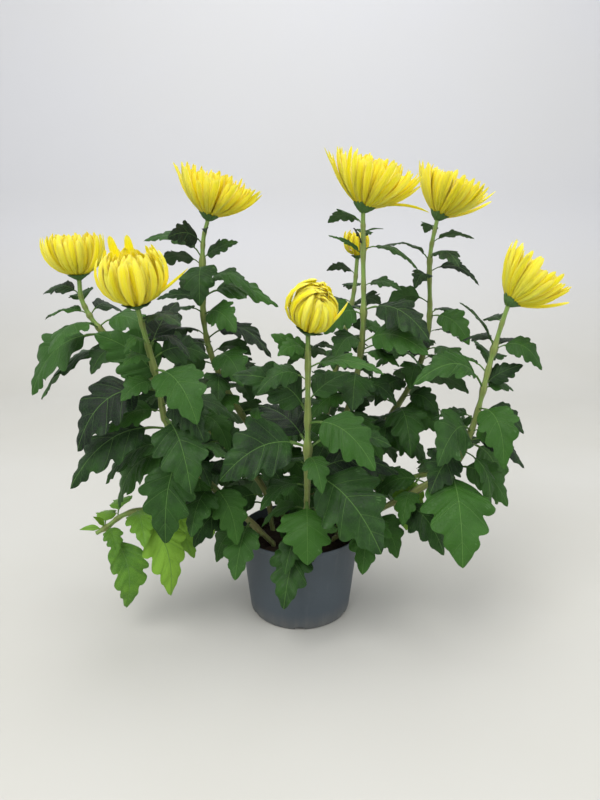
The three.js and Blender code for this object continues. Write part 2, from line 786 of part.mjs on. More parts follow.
function plantInPot() {
  const group = new THREE.Group();
  const paths = Object.fromEntries(
    Object.entries(STEMS).map(([name, stem]) => [name, pathOf(stem)]),
  );
  const leaves = growLeaves(paths);
  group.add(meshOf('pot', makePot(), plain(0x4b525c, 0.6)));
  group.add(meshOf('soil', makeSoil(paths), plain(0x1c1714, 0.95)));
  for (const [name, path] of Object.entries(paths)) {
    const { bloom } = STEMS[name];
    const green = [makeStalk(path), ...leaves[name].map(makeLeaf)];
    if (!bloom) {
      group.add(meshOf(`shoot_${name}`, joined(green), plain(0x5f9a2c, 0.7)));
      continue;
    }
    green.push(makeCup(path, bloom));
    group.add(meshOf(`stem_${name}`, joined(green), plain(0x2f6b34, 0.7)));
    const { flower, place, turn } = makeBloom(path, bloom);
    const mesh = meshOf(`bloom_${name}`, flower, plain(0xf7e020, 0.6));
    mesh.position.copy(place);
    mesh.quaternion.copy(turn);
    group.add(mesh);
  }
  return group;
}

const group = plantInPot();

export default group;
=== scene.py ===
import math

import bpy
import numpy as np
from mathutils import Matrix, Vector


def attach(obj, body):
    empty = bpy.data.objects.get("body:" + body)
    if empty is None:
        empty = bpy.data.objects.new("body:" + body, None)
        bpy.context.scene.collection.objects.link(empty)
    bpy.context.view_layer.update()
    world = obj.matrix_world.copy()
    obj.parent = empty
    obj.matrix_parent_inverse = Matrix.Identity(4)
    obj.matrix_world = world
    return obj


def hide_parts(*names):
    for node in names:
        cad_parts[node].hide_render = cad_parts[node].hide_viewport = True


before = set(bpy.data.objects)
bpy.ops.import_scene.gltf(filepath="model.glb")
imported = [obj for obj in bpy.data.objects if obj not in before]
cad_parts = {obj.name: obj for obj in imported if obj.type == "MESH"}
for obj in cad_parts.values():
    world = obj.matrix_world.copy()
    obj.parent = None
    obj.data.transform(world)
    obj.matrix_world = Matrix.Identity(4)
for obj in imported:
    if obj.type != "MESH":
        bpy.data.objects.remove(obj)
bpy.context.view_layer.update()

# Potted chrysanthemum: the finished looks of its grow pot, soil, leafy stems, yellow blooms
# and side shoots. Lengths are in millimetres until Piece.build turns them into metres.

MM = 0.001
# The sky, and where the upper faces of leaves turn to at the front and at the back
UP = np.array([0.0, 0.0, 1.0])
FRONT = np.array([0.0, -1.0, 0.3]) / math.hypot(1.0, 0.3)
BACK = FRONT * (1, -1, 1)
GOLDEN_ANGLE = 2.39996
FULL_TURN = 2 * math.pi
CREASE = 48

# Pot and soil
POT_CREASE = 40
POT_HEIGHT = 92
RIM_RADIUS = 65
FOOT_RADIUS = 54.6
WALL = 1.5
RIM_BAND = 5
RIM_PROUD = 0.6
FOOT_RING = 9
FLOOR_LIFT = 2.5
FLOOR_THICKNESS = 1.8
PAD_RADIUS = 18
NOTCHES = 6
NOTCH_WIDTH = 11
NOTCH_HEIGHT = 4.5
DRAIN_CIRCLE = 32
DRAIN_RADIUS = 4
POT_SIDES = 160
PROFILE_STEPS = (4, 16, 40, 66)
INNER_STEPS = (60, 30)
SOIL_TOP = 80
SOIL_GAP = 0.4
SOIL_RINGS = 40
SOIL_SIDES = 120
MOUNDS = 220
MOUND_SIZE = 4.5
CRUMBS = 420
CRUMB_SIZE = (0.9, 3.4)
CRUMB_PROFILE = [(0, -1), (0.62, -0.74), (0.97, -0.1), (0.7, 0.72), (0, 1)]

# Stems
STEM_RADIUS = 2.7
STEM_TOP_RADIUS = 2.1
BURIED_HEIGHTS = (56, 66, 76)
STEM_COLLAR = 84
STEM_END = 0.985
STEM_STEP = 3
STEM_SIDES = 20
STEM_RIDGES = 5
RIDGE_DEPTH = 0.07
NODE_SWELL = 0.7
NODE_LENGTH = 5
NODE_MARK = 6
FULL_NODE_LEAF = 60
HAIRS_PER_MM = 3
HAIR_LENGTH = 1.3
HAIR_WIDTH = 0.05

# Leaves. The petiole and the half width are parts of the blade's length, fold and wave are
# slopes, and the twist is in radians.
PETIOLE = 0.25
BRACT_LENGTH = 30
LEAF_THICKNESS = 0.6
LEAF_TWIST = (-0.3, 0.3)
LEAF_FOLD = (-0.1, 0.25)
LEAF_WAVE = (0.08, 0.16)
WAVES = 14
OTHER_HALF_PHASE = 1.7
ARCH_PLACE = 0.4
LEAF_HALF_WIDTH = 0.38
CURVE_STEP = 1e-4

# Room between leaves, and their places up the stems
SAMPLE_STEP = 6
LEAF_CLEARANCE = 8.5
SAME_STEM_CLEARANCE = 8
STEM_CLEARANCE = 8
OWN_STEM_CLEARANCE = 4
POT_CLEARANCE = 4
FLOOR_CLEARANCE = 6
DOME_SHARE = 0.95
CURLED_DOME_SHARE = 0.72
DOME_EXTRA = 6
DOME_FOOT = -3
LEAF_SPACING = 44
DENSE_BELOW = 0.6
TOPMOST_LEAF = 0.86
FULL_LEAF = (72, 88)
LEAF_TAPER = (1, 0.65)
YOUNG_LEAF = 0.65
ROOT_SHARE = 0.3
CLIMB = (-0.7, 0.15)
CLIMB_SPREAD = (-0.15, 0.15)
SPIRAL_WIDTH = (0.85, 1.1)
SPIRAL_ARCH = (0.17, 0.28)
FRONT_SHIFTS = (0, -12, 12, -24, 24, -36, 36)
SPIRAL_TRIES = (
    (0, 1), (0.35, 1), (-0.35, 1), (0.7, 1), (-0.7, 1), (0, 0.75), (0.5, 0.75), (-0.5, 0.75),
    (1.1, 0.85), (-1.1, 0.85),
)

# Later leaves, in the room that the first ones leave
CELL = 2.5
FILL_CLEARANCE = 3.2
FILL_STEM_CLEARANCE = 4.5
FILL_SPACING = 9
FILL_LEAF = (48, 84)
FILL_TAPER = (1.1, 0.6)
FILL_LOW = (-276, -117, 8)
FILL_HIGH = (262, 112, 440)
FILL_FACING = (0.25, 0.85)
BACK_STARTS = 45
LEAF_ROOT = 11
FEW_ABOVE = 3
LOWEST_FILL = 0.1
TOPMOST_FILL = 0.95

# Seeds of the random draws
FRONT_SEED = 7919
SPIRAL_SEED = 104729
FILL_SEED = 15485863
PETAL_SEED = 6151
HAIR_SEED = 3571
TINT_SEED = 2741
SOIL_SEED = 4001
SEED_RANGE = 1e9

# Half of a blade's edge from its foot to its tip: how far along it lies, how far out, and
# where on the midrib the vein towards it starts. Main veins run to the two side lobes.
BLADE_EDGE = np.array([
    (0, 0.024, 0), (0.03, 0.09, 0.012), (0.08, 0.2, 0.03), (0.15, 0.28, 0.05),
    (0.22, 0.322, 0.075), (0.28, 0.335, 0.1), (0.33, 0.322, 0.12), (0.37, 0.35, 0.14),
    (0.425, 0.385, 0.165), (0.478, 0.37, 0.195), (0.505, 0.315, 0.225), (0.5, 0.258, 0.26),
    (0.535, 0.255, 0.295), (0.59, 0.292, 0.33), (0.648, 0.31, 0.37), (0.695, 0.285, 0.41),
    (0.72, 0.232, 0.45), (0.728, 0.185, 0.5), (0.76, 0.176, 0.55), (0.805, 0.184, 0.61),
    (0.85, 0.163, 0.67), (0.872, 0.128, 0.73), (0.905, 0.104, 0.79), (0.945, 0.074, 0.86),
    (0.978, 0.042, 0.925), (1, 0, 1),
])
MAIN_VEINS = (8, 14)
SIDE_VEINS = (4, 11.5, 19, 22)
FINE_LEAF = 74
LEAF_COLUMNS = (0, 0.07, 0.34, 0.68, 0.93, 1)
STALK_ROWS = 6
STALK_HALF_WIDTH = 0.02
STALK_HALF_THICKNESS = 0.9
USUAL_BLADE = 65
BLADE_FLARE = 0.7
ROOT_FLARE = 0.5
ROOT_FLARE_PART = 0.15
OFF_BLADE = -4
MIDRIB_HEIGHT = 0.9
MIDRIB_GROOVE = 0.35
MIDRIB_HALF_WIDTH = 1.6
QUILT = 0.014
RIM_RIPPLES = 1.9
RIM_RIPPLE = 0.012
BRACT_EDGE = np.array([
    (0, 0.05, 0), (0.12, 0.11, 0.06), (0.3, 0.165, 0.2), (0.5, 0.15, 0.38), (0.7, 0.105, 0.58),
    (0.88, 0.05, 0.82), (1, 0, 1),
])

# Petals. Widths and lengths are parts of the bloom's length, lifts are in millimetres, the
# spreads of turn and slope are in radians, and shut is in degrees.
CORE_SHARE = 0.19
CORE_LIFT = 3.5
ROOT_CIRCLE = 0.6
PETAL_LIFT = 1.5
LOWEST_ROOT = 0.12
PETAL_THICKNESS = 0.6
PETAL_PLACES = np.array([0, 0.1, 0.25, 0.42, 0.58, 0.72, 0.84, 0.92, 0.97])
PETAL_WIDTHS = np.array([0.4, 0.5, 0.68, 0.86, 0.98, 1, 0.93, 0.76, 0.5])
PETAL_COLUMNS = (0, 0.55, 1)
PETAL_TURN = (-0.16, 0.16)
PETAL_SLOPE = (-0.07, 0.07)
PETAL_SHUT = (-12, 12)
PETAL_BREADTH = (0.9, 1.12)
PETAL_CUP = (0.55, 1.0)
PETAL_LEAN = (-0.07, 0.07)
PETAL_ROLL = (-0.5, 0.5)
LOOSE_WIDTH = 0.15
LOOSE_RANK = 0.1
LOOSE_BEND = dict(cup=0.6, lean=0.02, roll=0.3)
# What differs between open and curled blooms, from the outer petals to the inner ones. share
# is how many finer petals stand for each one counted in STEMS.
OPEN_FORM = dict(
    share=5.8, width=0.128, inner_width=0.086, inner_length=0.6, highest_root=0.98,
    inner_shut=112, closer=12, lengths=(0.86, 1.1),
)
CURLED_FORM = dict(
    share=7.5, width=0.105, inner_width=0.095, inner_length=0.8, highest_root=0.5,
    inner_shut=196, closer=0, lengths=(0.95, 1.03),
)
CURLED_FROM = 150
HOLLOW_AZIMUTH = -0.95
CURLED_REACH = 0.93
HOLLOW_DEPTH = 0.17
CUP_HEIGHT = 4
CUP_SHARE = 0.14
CUP_FOOT = 2.3
CUP_SIDES = 28
BRACTS = 30
BRACT_WIDTH = 0.085
BRACT_LENGTHS = (0.12, 0.16)

# How deep a leaf's green is, from 0 to 1, by chance and by its height on the stem
TINT = (0.2, 0.95)
TINT_BY_HEIGHT = (0.6, 1.1)
YOUNG_TINT = 0.3

# Screen colours
VEIN_COLOR = (96, 138, 66)
LEAF_GREENS = ((2, 19, 6), (9, 41, 10), (52, 98, 24))
YOUNG_GREENS = ((48, 92, 32), (74, 126, 34), (118, 162, 48))

# Stage, in metres
STAGE_BACK = 1.0
STAGE_CURVE = 0.6
STAGE_FRONT = -3.0
STAGE_HALF_WIDTH = 4.0
STAGE_TOP = 4.0

# Lights: place and width in metres, power in watts, and colour
LIGHTS = {
    "key": ((-0.7, -1.1, 1.9), 1.5, 29, (1.0, 0.99, 0.965)),
    "fill": ((1.6, -1.0, 1.2), 1.4, 9, (0.99, 0.99, 1.0)),
    "top": ((0.1, 0.5, 2.2), 1.9, 20, (1.0, 1.0, 1.0)),
}
LIT_PLACE = (0.0, 0.0, 0.25)
ROOM_COLOR = (0.975, 0.98, 1.0, 1.0)
ROOM_STRENGTH = 0.72

# Camera: place in metres, pitch down in degrees, lens and sensor in millimetres
CAMERA_PLACE = (0, -0.6085, 0.381)
CAMERA_PITCH = 13.5
LENS = 27
SENSOR = 36

# Each stem: its way from the soil up, its bloom, and its listed front leaves. A leaf row is
# the place along the stem, the leaf's tip, its width as a multiple of the usual one, its arch
# as a part of its length, and how far its upper face turns from the sky to the front.
STEMS = {
    "a": dict(
        path=[(-30, 8), (-44, 10, 140), (-110, 6, 215), (-193, 0, 298), (-217, 0, 333),
              (-220, 0, 361)],
        bloom=dict(lean=(-0.05, -0.05), petals=22, out=10, shut=96, length=49, seed=11),
        leaves=[
            (0.62, -272, -15, 243, 1, 0.2, 0.7), (0.56, -278, 20, 230, 0.8, 0.2, 0.3),
            (0.73, -264, 15, 317, 0.7, 0.15, 0.4),
        ],
    ),
    "b": dict(
        path=[(-28, -25), (-60, -38, 125), (-112, -56, 190), (-127, -62, 230),
              (-131, -66, 265), (-138, -68, 302), (-145, -70, 338)],
        bloom=dict(lean=(-0.05, -0.25), petals=24, out=3, shut=116, length=56, seed=12),
        leaves=[
            (0.64, -185, -82, 313, 1.05, 0.15, 0.9), (0.64, -200, -95, 210, 1, 0.25, 0.7),
            (0.81, -194, -72, 336, 1, 0.15, 0.8), (0.84, -158, -64, 332, 1, 0.1, 0.8),
            (0.8, -118, -60, 338, 1, 0.1, 0.9), (0.83, -96, -90, 294, 0.6, 0.3, 0.2),
            (0.83, -152, -95, 299, 0.7, 0.35, 0.1), (0.73, -89, -108, 239, 1.1, 0.2, 0.8),
            (0.51, -95, -118, 179, 1.05, 0.2, 0.7), (0.46, -211, -92, 173, 0.75, 0.2, 0.5),
            (0.38, -189, -60, 165, 0.7, 0.2, 0.3), (0.34, -183, -70, 134, 0.8, 0.25, 0.6),
            (0.35, -123, -105, 125, 1, 0.2, 0.8), (0.77, -87, -50, 286, 1, 0.2, 0.7),
            (0.3, -99, -60, 130, 0.8, 0.2, 0.6), (0.26, -61, -75, 108, 0.9, 0.2, 0.6),
        ],
    ),
    "c": dict(
        path=[(-18, 32), (-40, 44, 160), (-85, 52, 240), (-105, 55, 301), (-105, 58, 387),
              (-98, 60, 421)],
        bloom=dict(lean=(0.32, -0.1), petals=24, out=24, shut=56, length=58, seed=13),
        leaves=[
            (0.77, -167, 52, 396, 0.7, 0.25, 0.35), (0.77, -65, 45, 395, 0.9, 0.1, 0.7),
            (0.75, -104, 20, 330, 1.3, 0.3, 0.5), (0.7, -48, 45, 338, 0.8, 0.35, 0.3),
            (0.68, -24, 60, 325, 0.7, 0.2, 0.6), (0.67, -156, 50, 335, 0.8, 0.15, 0.5),
            (0.64, -66, 25, 304, 1, 0.2, 0.7), (0.57, -31, 35, 273, 0.8, 0.3, 0.4),
        ],
    ),
    "d": dict(
        path=[(14, 18), (30, 14, 160), (55, 6, 240), (64, 5, 307), (63, 10, 387),
              (62, 10, 426)],
        bloom=dict(lean=(0.33, -0.1), petals=28, out=24, shut=56, length=60, seed=14),
        leaves=[
            (0.8, 118, 0, 366, 0.55, 0.2, 0.4), (0.78, 28, 15, 401, 0.5, 0.1, 0.3),
            (0.87, 83, 8, 407, 0.35, 0.1, 0.5), (0.81, 51, 0, 407, 0.6, 0.1, 0.7),
            (0.65, 124, -40, 301, 0.9, 0.2, 0.6), (0.56, 124, -35, 288, 1, 0.2, 0.7),
        ],
    ),
    "e": dict(
        path=[(32, 25), (75, 40, 165), (125, 55, 240), (143, 60, 301), (142, 66, 377),
              (149, 70, 422)],
        bloom=dict(lean=(0.43, -0.1), petals=24, out=30, shut=64, length=56, seed=15),
        leaves=[
            (0.79, 86, 60, 390, 0.6, 0.2, 0.3), (0.76, 195, 55, 349, 0.5, 0.25, 0.3),
            (0.64, 180, 25, 289, 0.9, 0.2, 0.6),
        ],
    ),
    "f": dict(
        path=[(36, -14), (80, -20, 118), (126, -24, 147), (158, -26, 172), (170, -26, 199),
              (179, -24, 230), (187, -22, 271), (196, -20, 310), (203, -20, 337)],
        bloom=dict(lean=(0.8, -0.15), petals=24, out=30, shut=66, length=54, seed=16),
        leaves=[
            (0.81, 152, -30, 338, 0.55, 0.1, 0.3), (0.81, 231, -45, 275, 0.9, 0.3, 0.5),
            (0.81, 233, -5, 291, 0.8, 0.2, 0.3), (0.7, 219, -40, 277, 0.9, 0.1, 0.6),
            (0.69, 104, -70, 266, 0.6, 0.25, 0.4), (0.63, 190, -80, 188, 0.9, 0.3, 0.7),
            (0.54, 128, -80, 191, 1.2, 0.25, 0.9), (0.45, 184, -60, 131, 0.5, 0.3, 0.3),
            (0.35, 150, -95, 101, 1.1, 0.2, 0.7), (0.49, 211, -10, 122, 0.8, 0.2, 0.6),
        ],
    ),
    "g": dict(
        path=[(4, -38), (6, -50, 120), (7, -60, 169), (7, -72, 252), (7, -75, 316)],
        bloom=dict(lean=(0.1, -0.2), petals=15, out=6, shut=172, length=62, seed=17),
        leaves=[
            (0.53, 73, -118, 121, 1.1, 0.15, 0.8), (0.4, 7, -122, 99, 1.5, 0.2, 0.3),
            (0.61, -73, -95, 182, 1.1, 0.2, 0.6), (0.68, 66, -112, 198, 0.95, 0.2, 0.6),
            (0.86, 73, -98, 281, 0.6, 0.15, 0.45), (0.69, -61, -80, 277, 0.9, 0.2, 0.7),
            (0.88, -26, -85, 313, 0.9, 0.1, 0.7), (0.93, -11, -70, 325, 0.8, 0.05, 0.8),
            (0.93, 27, -90, 319, 0.8, 0.05, 0.8), (0.91, 31, -105, 302, 0.7, 0.25, 0.2),
            (0.74, 48, -45, 273, 0.8, 0.1, 0.7), (0.6, 86, -70, 207, 0.9, 0.2, 0.6),
            (0.61, -42, -50, 232, 0.9, 0.15, 0.7), (0.5, 99, -80, 170, 0.8, 0.2, 0.6),
        ],
    ),
    "h": dict(
        path=[(10, 42), (20, 55, 150), (40, 68, 250), (59, 75, 333), (64, 80, 381)],
        bloom=dict(lean=(-0.1, -0.1), petals=8, out=10, shut=130, length=32, seed=18),
        leaves=[],
    ),
    "left": dict(
        path=[(-42, -5), (-62, -22, 115), (-100, -34, 132), (-170, -42, 128),
              (-196, -45, 113), (-208, -46, 106)],
        leaves=[
            (0.81, -178, -60, 30, 0.8, 0.25, 0.7), (0.6, -128, -75, 53, 0.8, 0.3, 0.7),
            (0.41, -111, -60, 73, 0.85, 0.2, 0.7), (0.86, -224, -48, 111, 1, 0.1, 0.6),
            (0.83, -205, -46, 130, 1, 0.1, 0.6), (0.79, -179, -60, 95, 0.9, 0.2, 0.6),
            (0.35, -90, -30, 100, 0.8, 0.2, 0.6),
        ],
    ),
    "right": dict(
        path=[(40, 0), (66, 4, 115), (104, 8, 140), (140, 8, 150), (165, 4, 150)],
        leaves=[(0.7, 114, -50, 94, 0.9, 0.25, 0.6)],
    ),
}
# Single petals that stand out from their bloom: turn, slopes at root and tip, and length
LOOSE_PETALS = {
    "b": [(-0.2, 30, 40, 1.0), (2.2, 52, 84, 1.1), (1.6, 66, 88, 1.05)],
    "c": [(2.9, 34, 50, 1.05)],
    "d": [(0.1, 38, -8, 1.04), (3.1, 34, 46, 1.04)],
    "e": [(3.0, 40, 58, 1.02), (0.2, 26, 54, 1.05)],
    "f": [(0.1, 26, 54, 1.04), (2.9, 48, 66, 1.02)],
    "g": [(-0.2, 42, 84, 0.74), (0.5, 60, 130, 0.84)],
}
# The half-open bloom's many petals sit closer, and nod a little to its right
FINER_BLOOM = {"g": dict(length=57, lean=(0.3, -0.3))}


def random_from(seed):
    """A repeatable source of numbers between 0 and 1."""
    state = int(seed)

    def draw():
        nonlocal state
        state = (state * 1664525 + 1013904223) % 2**32
        return state / 2**32

    return draw


def between(low, high, share):
    return low + (high - low) * share


def unit(way):
    return way / np.linalg.norm(way, axis=-1, keepdims=True)


def square_to(axis, way):
    return unit(way - axis * (way @ axis))


def turned(way, axis, angle):
    """way turned about a unit axis."""
    return (
        way * math.cos(angle)
        + np.cross(axis, way) * math.sin(angle)
        + axis * (axis @ way) * (1 - math.cos(angle))
    )


def ways_round(turn):
    """The ways outwards and sideways at an angle about +Z."""
    outward = np.array([math.cos(turn), math.sin(turn), 0])
    return outward, np.cross(UP, outward)


def angles(count):
    """Evenly spread angles of a full turn."""
    return np.arange(count) / count * FULL_TURN


# Meshes


def add_object(name, data):
    obj = bpy.data.objects.new(name, data)
    bpy.context.scene.collection.objects.link(obj)
    return obj


class Piece:
    """Collects points, faces and values at the points, and makes one object of them."""

    def __init__(self):
        self.points = []
        self.faces = []
        self.values = {}
        self.count = 0

    def add(self, points, faces, **values):
        """faces holds rows of four corners, with -1 last in a triangle."""
        points = np.asarray(points, float).reshape(-1, 3)
        faces = np.asarray(faces, int)
        self.points.append(points)
        self.faces.append(np.where(faces < 0, -1, faces + self.count))
        for name, value in values.items():
            full = np.broadcast_to(np.asarray(value, float).ravel(), len(points))
            self.values.setdefault(name, []).append(full)
        self.count += len(points)

    def build(self, name, material, slot, replaced):
        points = np.concatenate(self.points) * MM
        faces = np.concatenate(self.faces)
        sizes = np.where(faces[:, 3] < 0, 3, 4)
        corners = faces[faces >= 0]
        mesh = bpy.data.meshes.new(name)
        mesh.vertices.add(len(points))
        mesh.vertices.foreach_set("co", points.astype(np.float32).ravel())
        mesh.loops.add(len(corners))
        mesh.loops.foreach_set("vertex_index", corners.astype(np.int32))
        mesh.polygons.add(len(faces))
        mesh.polygons.foreach_set("loop_start", (np.cumsum(sizes) - sizes).astype(np.int32))
        mesh.update(calc_edges=True)
        mesh.validate()
        for key, parts in self.values.items():
            attribute = mesh.attributes.new(key, "FLOAT", "POINT")
            attribute.data.foreach_set("value", np.concatenate(parts).astype(np.float32))
        mesh.shade_smooth()
        mesh.set_sharp_from_angle(angle=math.radians(CREASE))
        mesh.materials.append(material)
        obj = add_object(name, mesh)
        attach(obj, "root")
        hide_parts(*replaced)
        return obj


def grid_faces(rows, sides):
    """Quads between rings of points stored ring by ring."""
    row = np.arange(rows - 1)[:, None] * sides
    side = np.arange(sides)
    after = (side + 1) % sides
    corners = [row + side, row + after, row + sides + after, row + sides + side]
    return np.stack(corners, -1).reshape(-1, 4)


def fan_faces(ring, middle, inward=False):
    """Triangles from a ring of point numbers to one more point."""
    ring = np.asarray(ring)
    after = np.roll(ring, -1)
    sides = (after, ring) if inward else (ring, after)
    return np.stack([*sides, np.full(len(ring), middle), np.full(len(ring), -1)], -1)


def closed_skin(rings, ends):
    """Points and faces of rings joined into a skin, with a point for each of its two ends."""
    rows, sides = rings.shape[:2]
    first = np.arange(sides)
    faces = np.concatenate([
        grid_faces(rows, sides),
        fan_faces(first, rows * sides, inward=True),
        fan_faces(first + (rows - 1) * sides, rows * sides + 1),
    ])
    return np.concatenate([rings.reshape(-1, 3), ends]), faces


def tube(centres, across, beside, radii):
    """Points and faces of a closed stem with low ridges, round centres."""
    turn = angles(STEM_SIDES)
    swell = 1 + RIDGE_DEPTH * np.cos(STEM_RIDGES * turn)
    ring = (
        across[:, None, :] * (np.cos(turn) * swell)[None, :, None]
        + beside[:, None, :] * (np.sin(turn) * swell)[None, :, None]
    )
    rings = centres[:, None, :] + ring * radii[:, None, None]
    return closed_skin(rings, [centres[0], centres[-1]])


def lathe(profile, sides):
    """Points and faces of a profile of (radius, height) turned about +Z. It starts and ends
    on the axis."""
    profile = np.asarray(profile, float)
    turn = angles(sides)
    radius, height = profile[1:-1].T[..., None]
    height = np.broadcast_to(height, (len(height), sides))
    rings = np.stack([radius * np.cos(turn), radius * np.sin(turn), height], -1)
    return closed_skin(rings, [(0, 0, profile[0, 1]), (0, 0, profile[-1, 1])])


# Stems and their leaves' places


def through(points, place):
    """Points of a smooth curve through points, at places from 0 to 1 along it."""
    points = np.asarray(points, float)
    ends = 2 * points[[0, -1]] - points[[1, -2]]
    full = np.concatenate([ends[:1], points, ends[1:]])
    place = np.asarray(place, float) * (len(points) - 1)
    span = np.clip(np.floor(place).astype(int), 0, len(points) - 2)
    share = (place - span)[..., None]
    before, start, end, after = (full[span + step] for step in range(4))
    leave = 0.5 * (end - before)
    arrive = 0.5 * (after - start)
    return (
        start
        + leave * share
        + (3 * (end - start) - 2 * leave - arrive) * share**2
        + (2 * (start - end) + leave + arrive) * share**3
    )


class Path:
    """The smooth curve of a stem. A place on it runs from 0 to 1."""

    def __init__(self, foot, *rest):
        self.points = np.array([(*foot, STEM_COLLAR), *rest], float)

    def at(self, along):
        return through(self.points, along)

    def frame(self, along):
        """The ways along the curve, across it, and beside both."""
        low = self.at(np.clip(along - CURVE_STEP, 0, 1))
        high = self.at(np.clip(along + CURVE_STEP, 0, 1))
        ahead = unit(high - low)
        across = unit(np.cross([0.0, 1.0, 0.0], ahead))
        return ahead, across, np.cross(ahead, across)

    def length(self):
        return np.linalg.norm(np.diff(self.points, axis=0), axis=1).sum()


class Leaf:
    """A leaf that springs from its stem, rises over its arch and falls to its tip. u runs
    from the blade's foot at 0 to its tip at 1, and v runs across."""

    def __init__(self, path, along, tip, wide, arch, facing, draw):
        self.along = along
        self.base = path.at(along)
        self.tip = np.asarray(tip, float)
        chord = self.tip - self.base
        self.length = np.linalg.norm(chord)
        chord = chord / self.length
        self.wide = wide
        self.blade = self.length / (1 + PETIOLE)
        upward = between(UP, FRONT if facing >= 0 else BACK, abs(facing))
        across = np.cross(square_to(chord, upward), chord)
        self.across = turned(across, chord, between(*LEAF_TWIST, draw()))
        rise = square_to(chord, UP)
        self.control = between(self.base, self.tip, ARCH_PLACE) + rise * 2 * arch * self.length
        self.fold = between(*LEAF_FOLD, draw())
        self.wave = between(*LEAF_WAVE, draw())
        self.phase = between(0, FULL_TURN, draw())

    def middle(self, u):
        """The midrib's points and upward ways."""
        share = ((np.asarray(u, float) + PETIOLE) / (1 + PETIOLE))[..., None]
        start = self.control - self.base
        end = self.tip - self.control
        normal = unit(np.cross(unit(between(start, end, share)), self.across))
        first = between(self.base, self.control, share)
        return between(first, between(self.control, self.tip, share), share), normal

    def at(self, u, v, lift=0.0):
        """Points of the blade."""
        u, v = np.broadcast_arrays(np.asarray(u, float), np.asarray(v, float))
        middle, normal = self.middle(u)
        aside = self.wide * v * self.blade
        ripple = self.wave * np.sin(WAVES * u + self.phase + np.where(v < 0, OTHER_HALF_PHASE, 0))
        height = np.abs(aside) * (ripple - self.fold) + lift
        return middle + self.across * aside[..., None] + normal * height[..., None]

    def samples(self):
        """Points over the leaf, and which of them lie clear of its root."""
        points = []
        outer = []
        rows = math.ceil(self.blade / SAMPLE_STEP) + 1
        for row in range(rows + 1):
            u = between(-0.08, 1, row / rows)
            half = LEAF_HALF_WIDTH * math.sqrt(max(math.sin(math.pi * max(u, 0) ** 0.8), 0))
            half = 0 if u <= 0 else half
            columns = math.ceil(2 * half * self.wide * self.blade / SAMPLE_STEP)
            for column in range(columns + 1):
                v = between(-half, half, column / columns) if columns > 0 else 0
                points.append((u, v))
                outer.append(u > ROOT_SHARE)
        u, v = np.array(points).T
        return self.at(u, v), np.array(outer)

    def spread(self):
        """Points all over the leaf, closer together than a cell."""
        u = np.arange(-PETIOLE, 1, 0.8 * CELL / self.blade)
        half = np.interp(u, BLADE_EDGE[:, 0], BLADE_EDGE[:, 1] + 0.02)
        widest = math.ceil(2 * half.max() * self.wide * self.blade / (0.8 * CELL)) + 1
        v = np.linspace(-1, 1, widest) * half[:, None]
        return self.at(np.broadcast_to(u[:, None], v.shape), v).reshape(-1, 3)

    def free(self, points):
        """Which points lie clear of the stem that the leaf springs from."""
        return np.linalg.norm(points - self.base, axis=1) > LEAF_ROOT


def axis_of(bloom):
    return unit(np.array([*bloom["lean"], 1.0]))


def is_curled(bloom):
    return bloom["shut"] > CURLED_FROM


def bloom_reach(bloom):
    return bloom["length"] * (CURLED_DOME_SHARE if is_curled(bloom) else DOME_SHARE) + DOME_EXTRA


def wall_radius(height):
    return between(FOOT_RADIUS, RIM_RADIUS, height / POT_HEIGHT)


def in_pot(points):
    height = points[:, 2]
    radius = np.hypot(points[:, 0], points[:, 1])
    return (height < POT_HEIGHT + POT_CLEARANCE) & (radius < wall_radius(height) + POT_CLEARANCE)


def in_dome(points, dome):
    centre, axis, reach = dome
    apart = points - centre
    return (np.linalg.norm(apart, axis=1) < reach) & (apart @ axis > DOME_FOOT)


def is_barred(points, domes):
    """True if a point is in the pot or in the space that a bloom fills."""
    return in_pot(points).any() or any(in_dome(points, dome).any() for dome in domes)


class Room:
    """The sample points of what is placed already, and the domes that the blooms fill."""

    def __init__(self):
        self.rows = np.empty((0, 6))
        self.domes = []

    def add(self, points, owner, clearance, same_clearance):
        extra = np.broadcast_to([owner, clearance, same_clearance], (len(points), 3))
        self.rows = np.concatenate([self.rows, np.concatenate([points, extra], 1)])

    def holds(self, points, outer, owner):
        """True if these points are clear of all that is placed."""
        if (points[:, 2] < FLOOR_CLEARANCE).any() or is_barred(points, self.domes):
            return False
        near = (self.rows[:, :3] > points.min(0) - LEAF_CLEARANCE).all(1)
        near &= (self.rows[:, :3] < points.max(0) + LEAF_CLEARANCE).all(1)
        rows = self.rows[near]
        same = rows[:, 3] == owner
        limit = np.where(same, rows[:, 5], rows[:, 4])
        apart = np.linalg.norm(points[:, None] - rows[None, :, :3], axis=2)
        close = apart < limit
        close &= ~(same[None, :] & ~outer[:, None])
        return not close.any()


class Grid:
    """Which small cells of the space round the plant are taken."""

    def __init__(self, room):
        self.low = np.array(FILL_LOW) - 20
        cells = np.ceil((np.array(FILL_HIGH) + 20 - self.low) / CELL).astype(int)
        self.taken = np.zeros(cells, bool)
        self.domes = room.domes

    def cell(self, points):
        cells = ((points - self.low) / CELL).astype(int)
        return np.clip(cells, 0, np.array(self.taken.shape) - 1)

    def mark(self, points, clearance):
        reach = math.ceil(clearance / CELL)
        steps = np.arange(-reach, reach + 1)
        offsets = np.stack(np.meshgrid(steps, steps, steps), -1).reshape(-1, 3)
        offsets = offsets[np.linalg.norm(offsets, axis=1) * CELL <= clearance]
        cells = (self.cell(points)[:, None] + offsets).reshape(-1, 3)
        cells = np.clip(cells, 0, np.array(self.taken.shape) - 1)
        self.taken[tuple(cells.T)] = True

    def holds(self, points):
        """True if these points are free, inside the limits, and clear of pot and blooms."""
        if (points < FILL_LOW).any() or (points > FILL_HIGH).any():
            return False
        if self.taken[tuple(self.cell(points).T)].any():
            return False
        return not is_barred(points, self.domes)


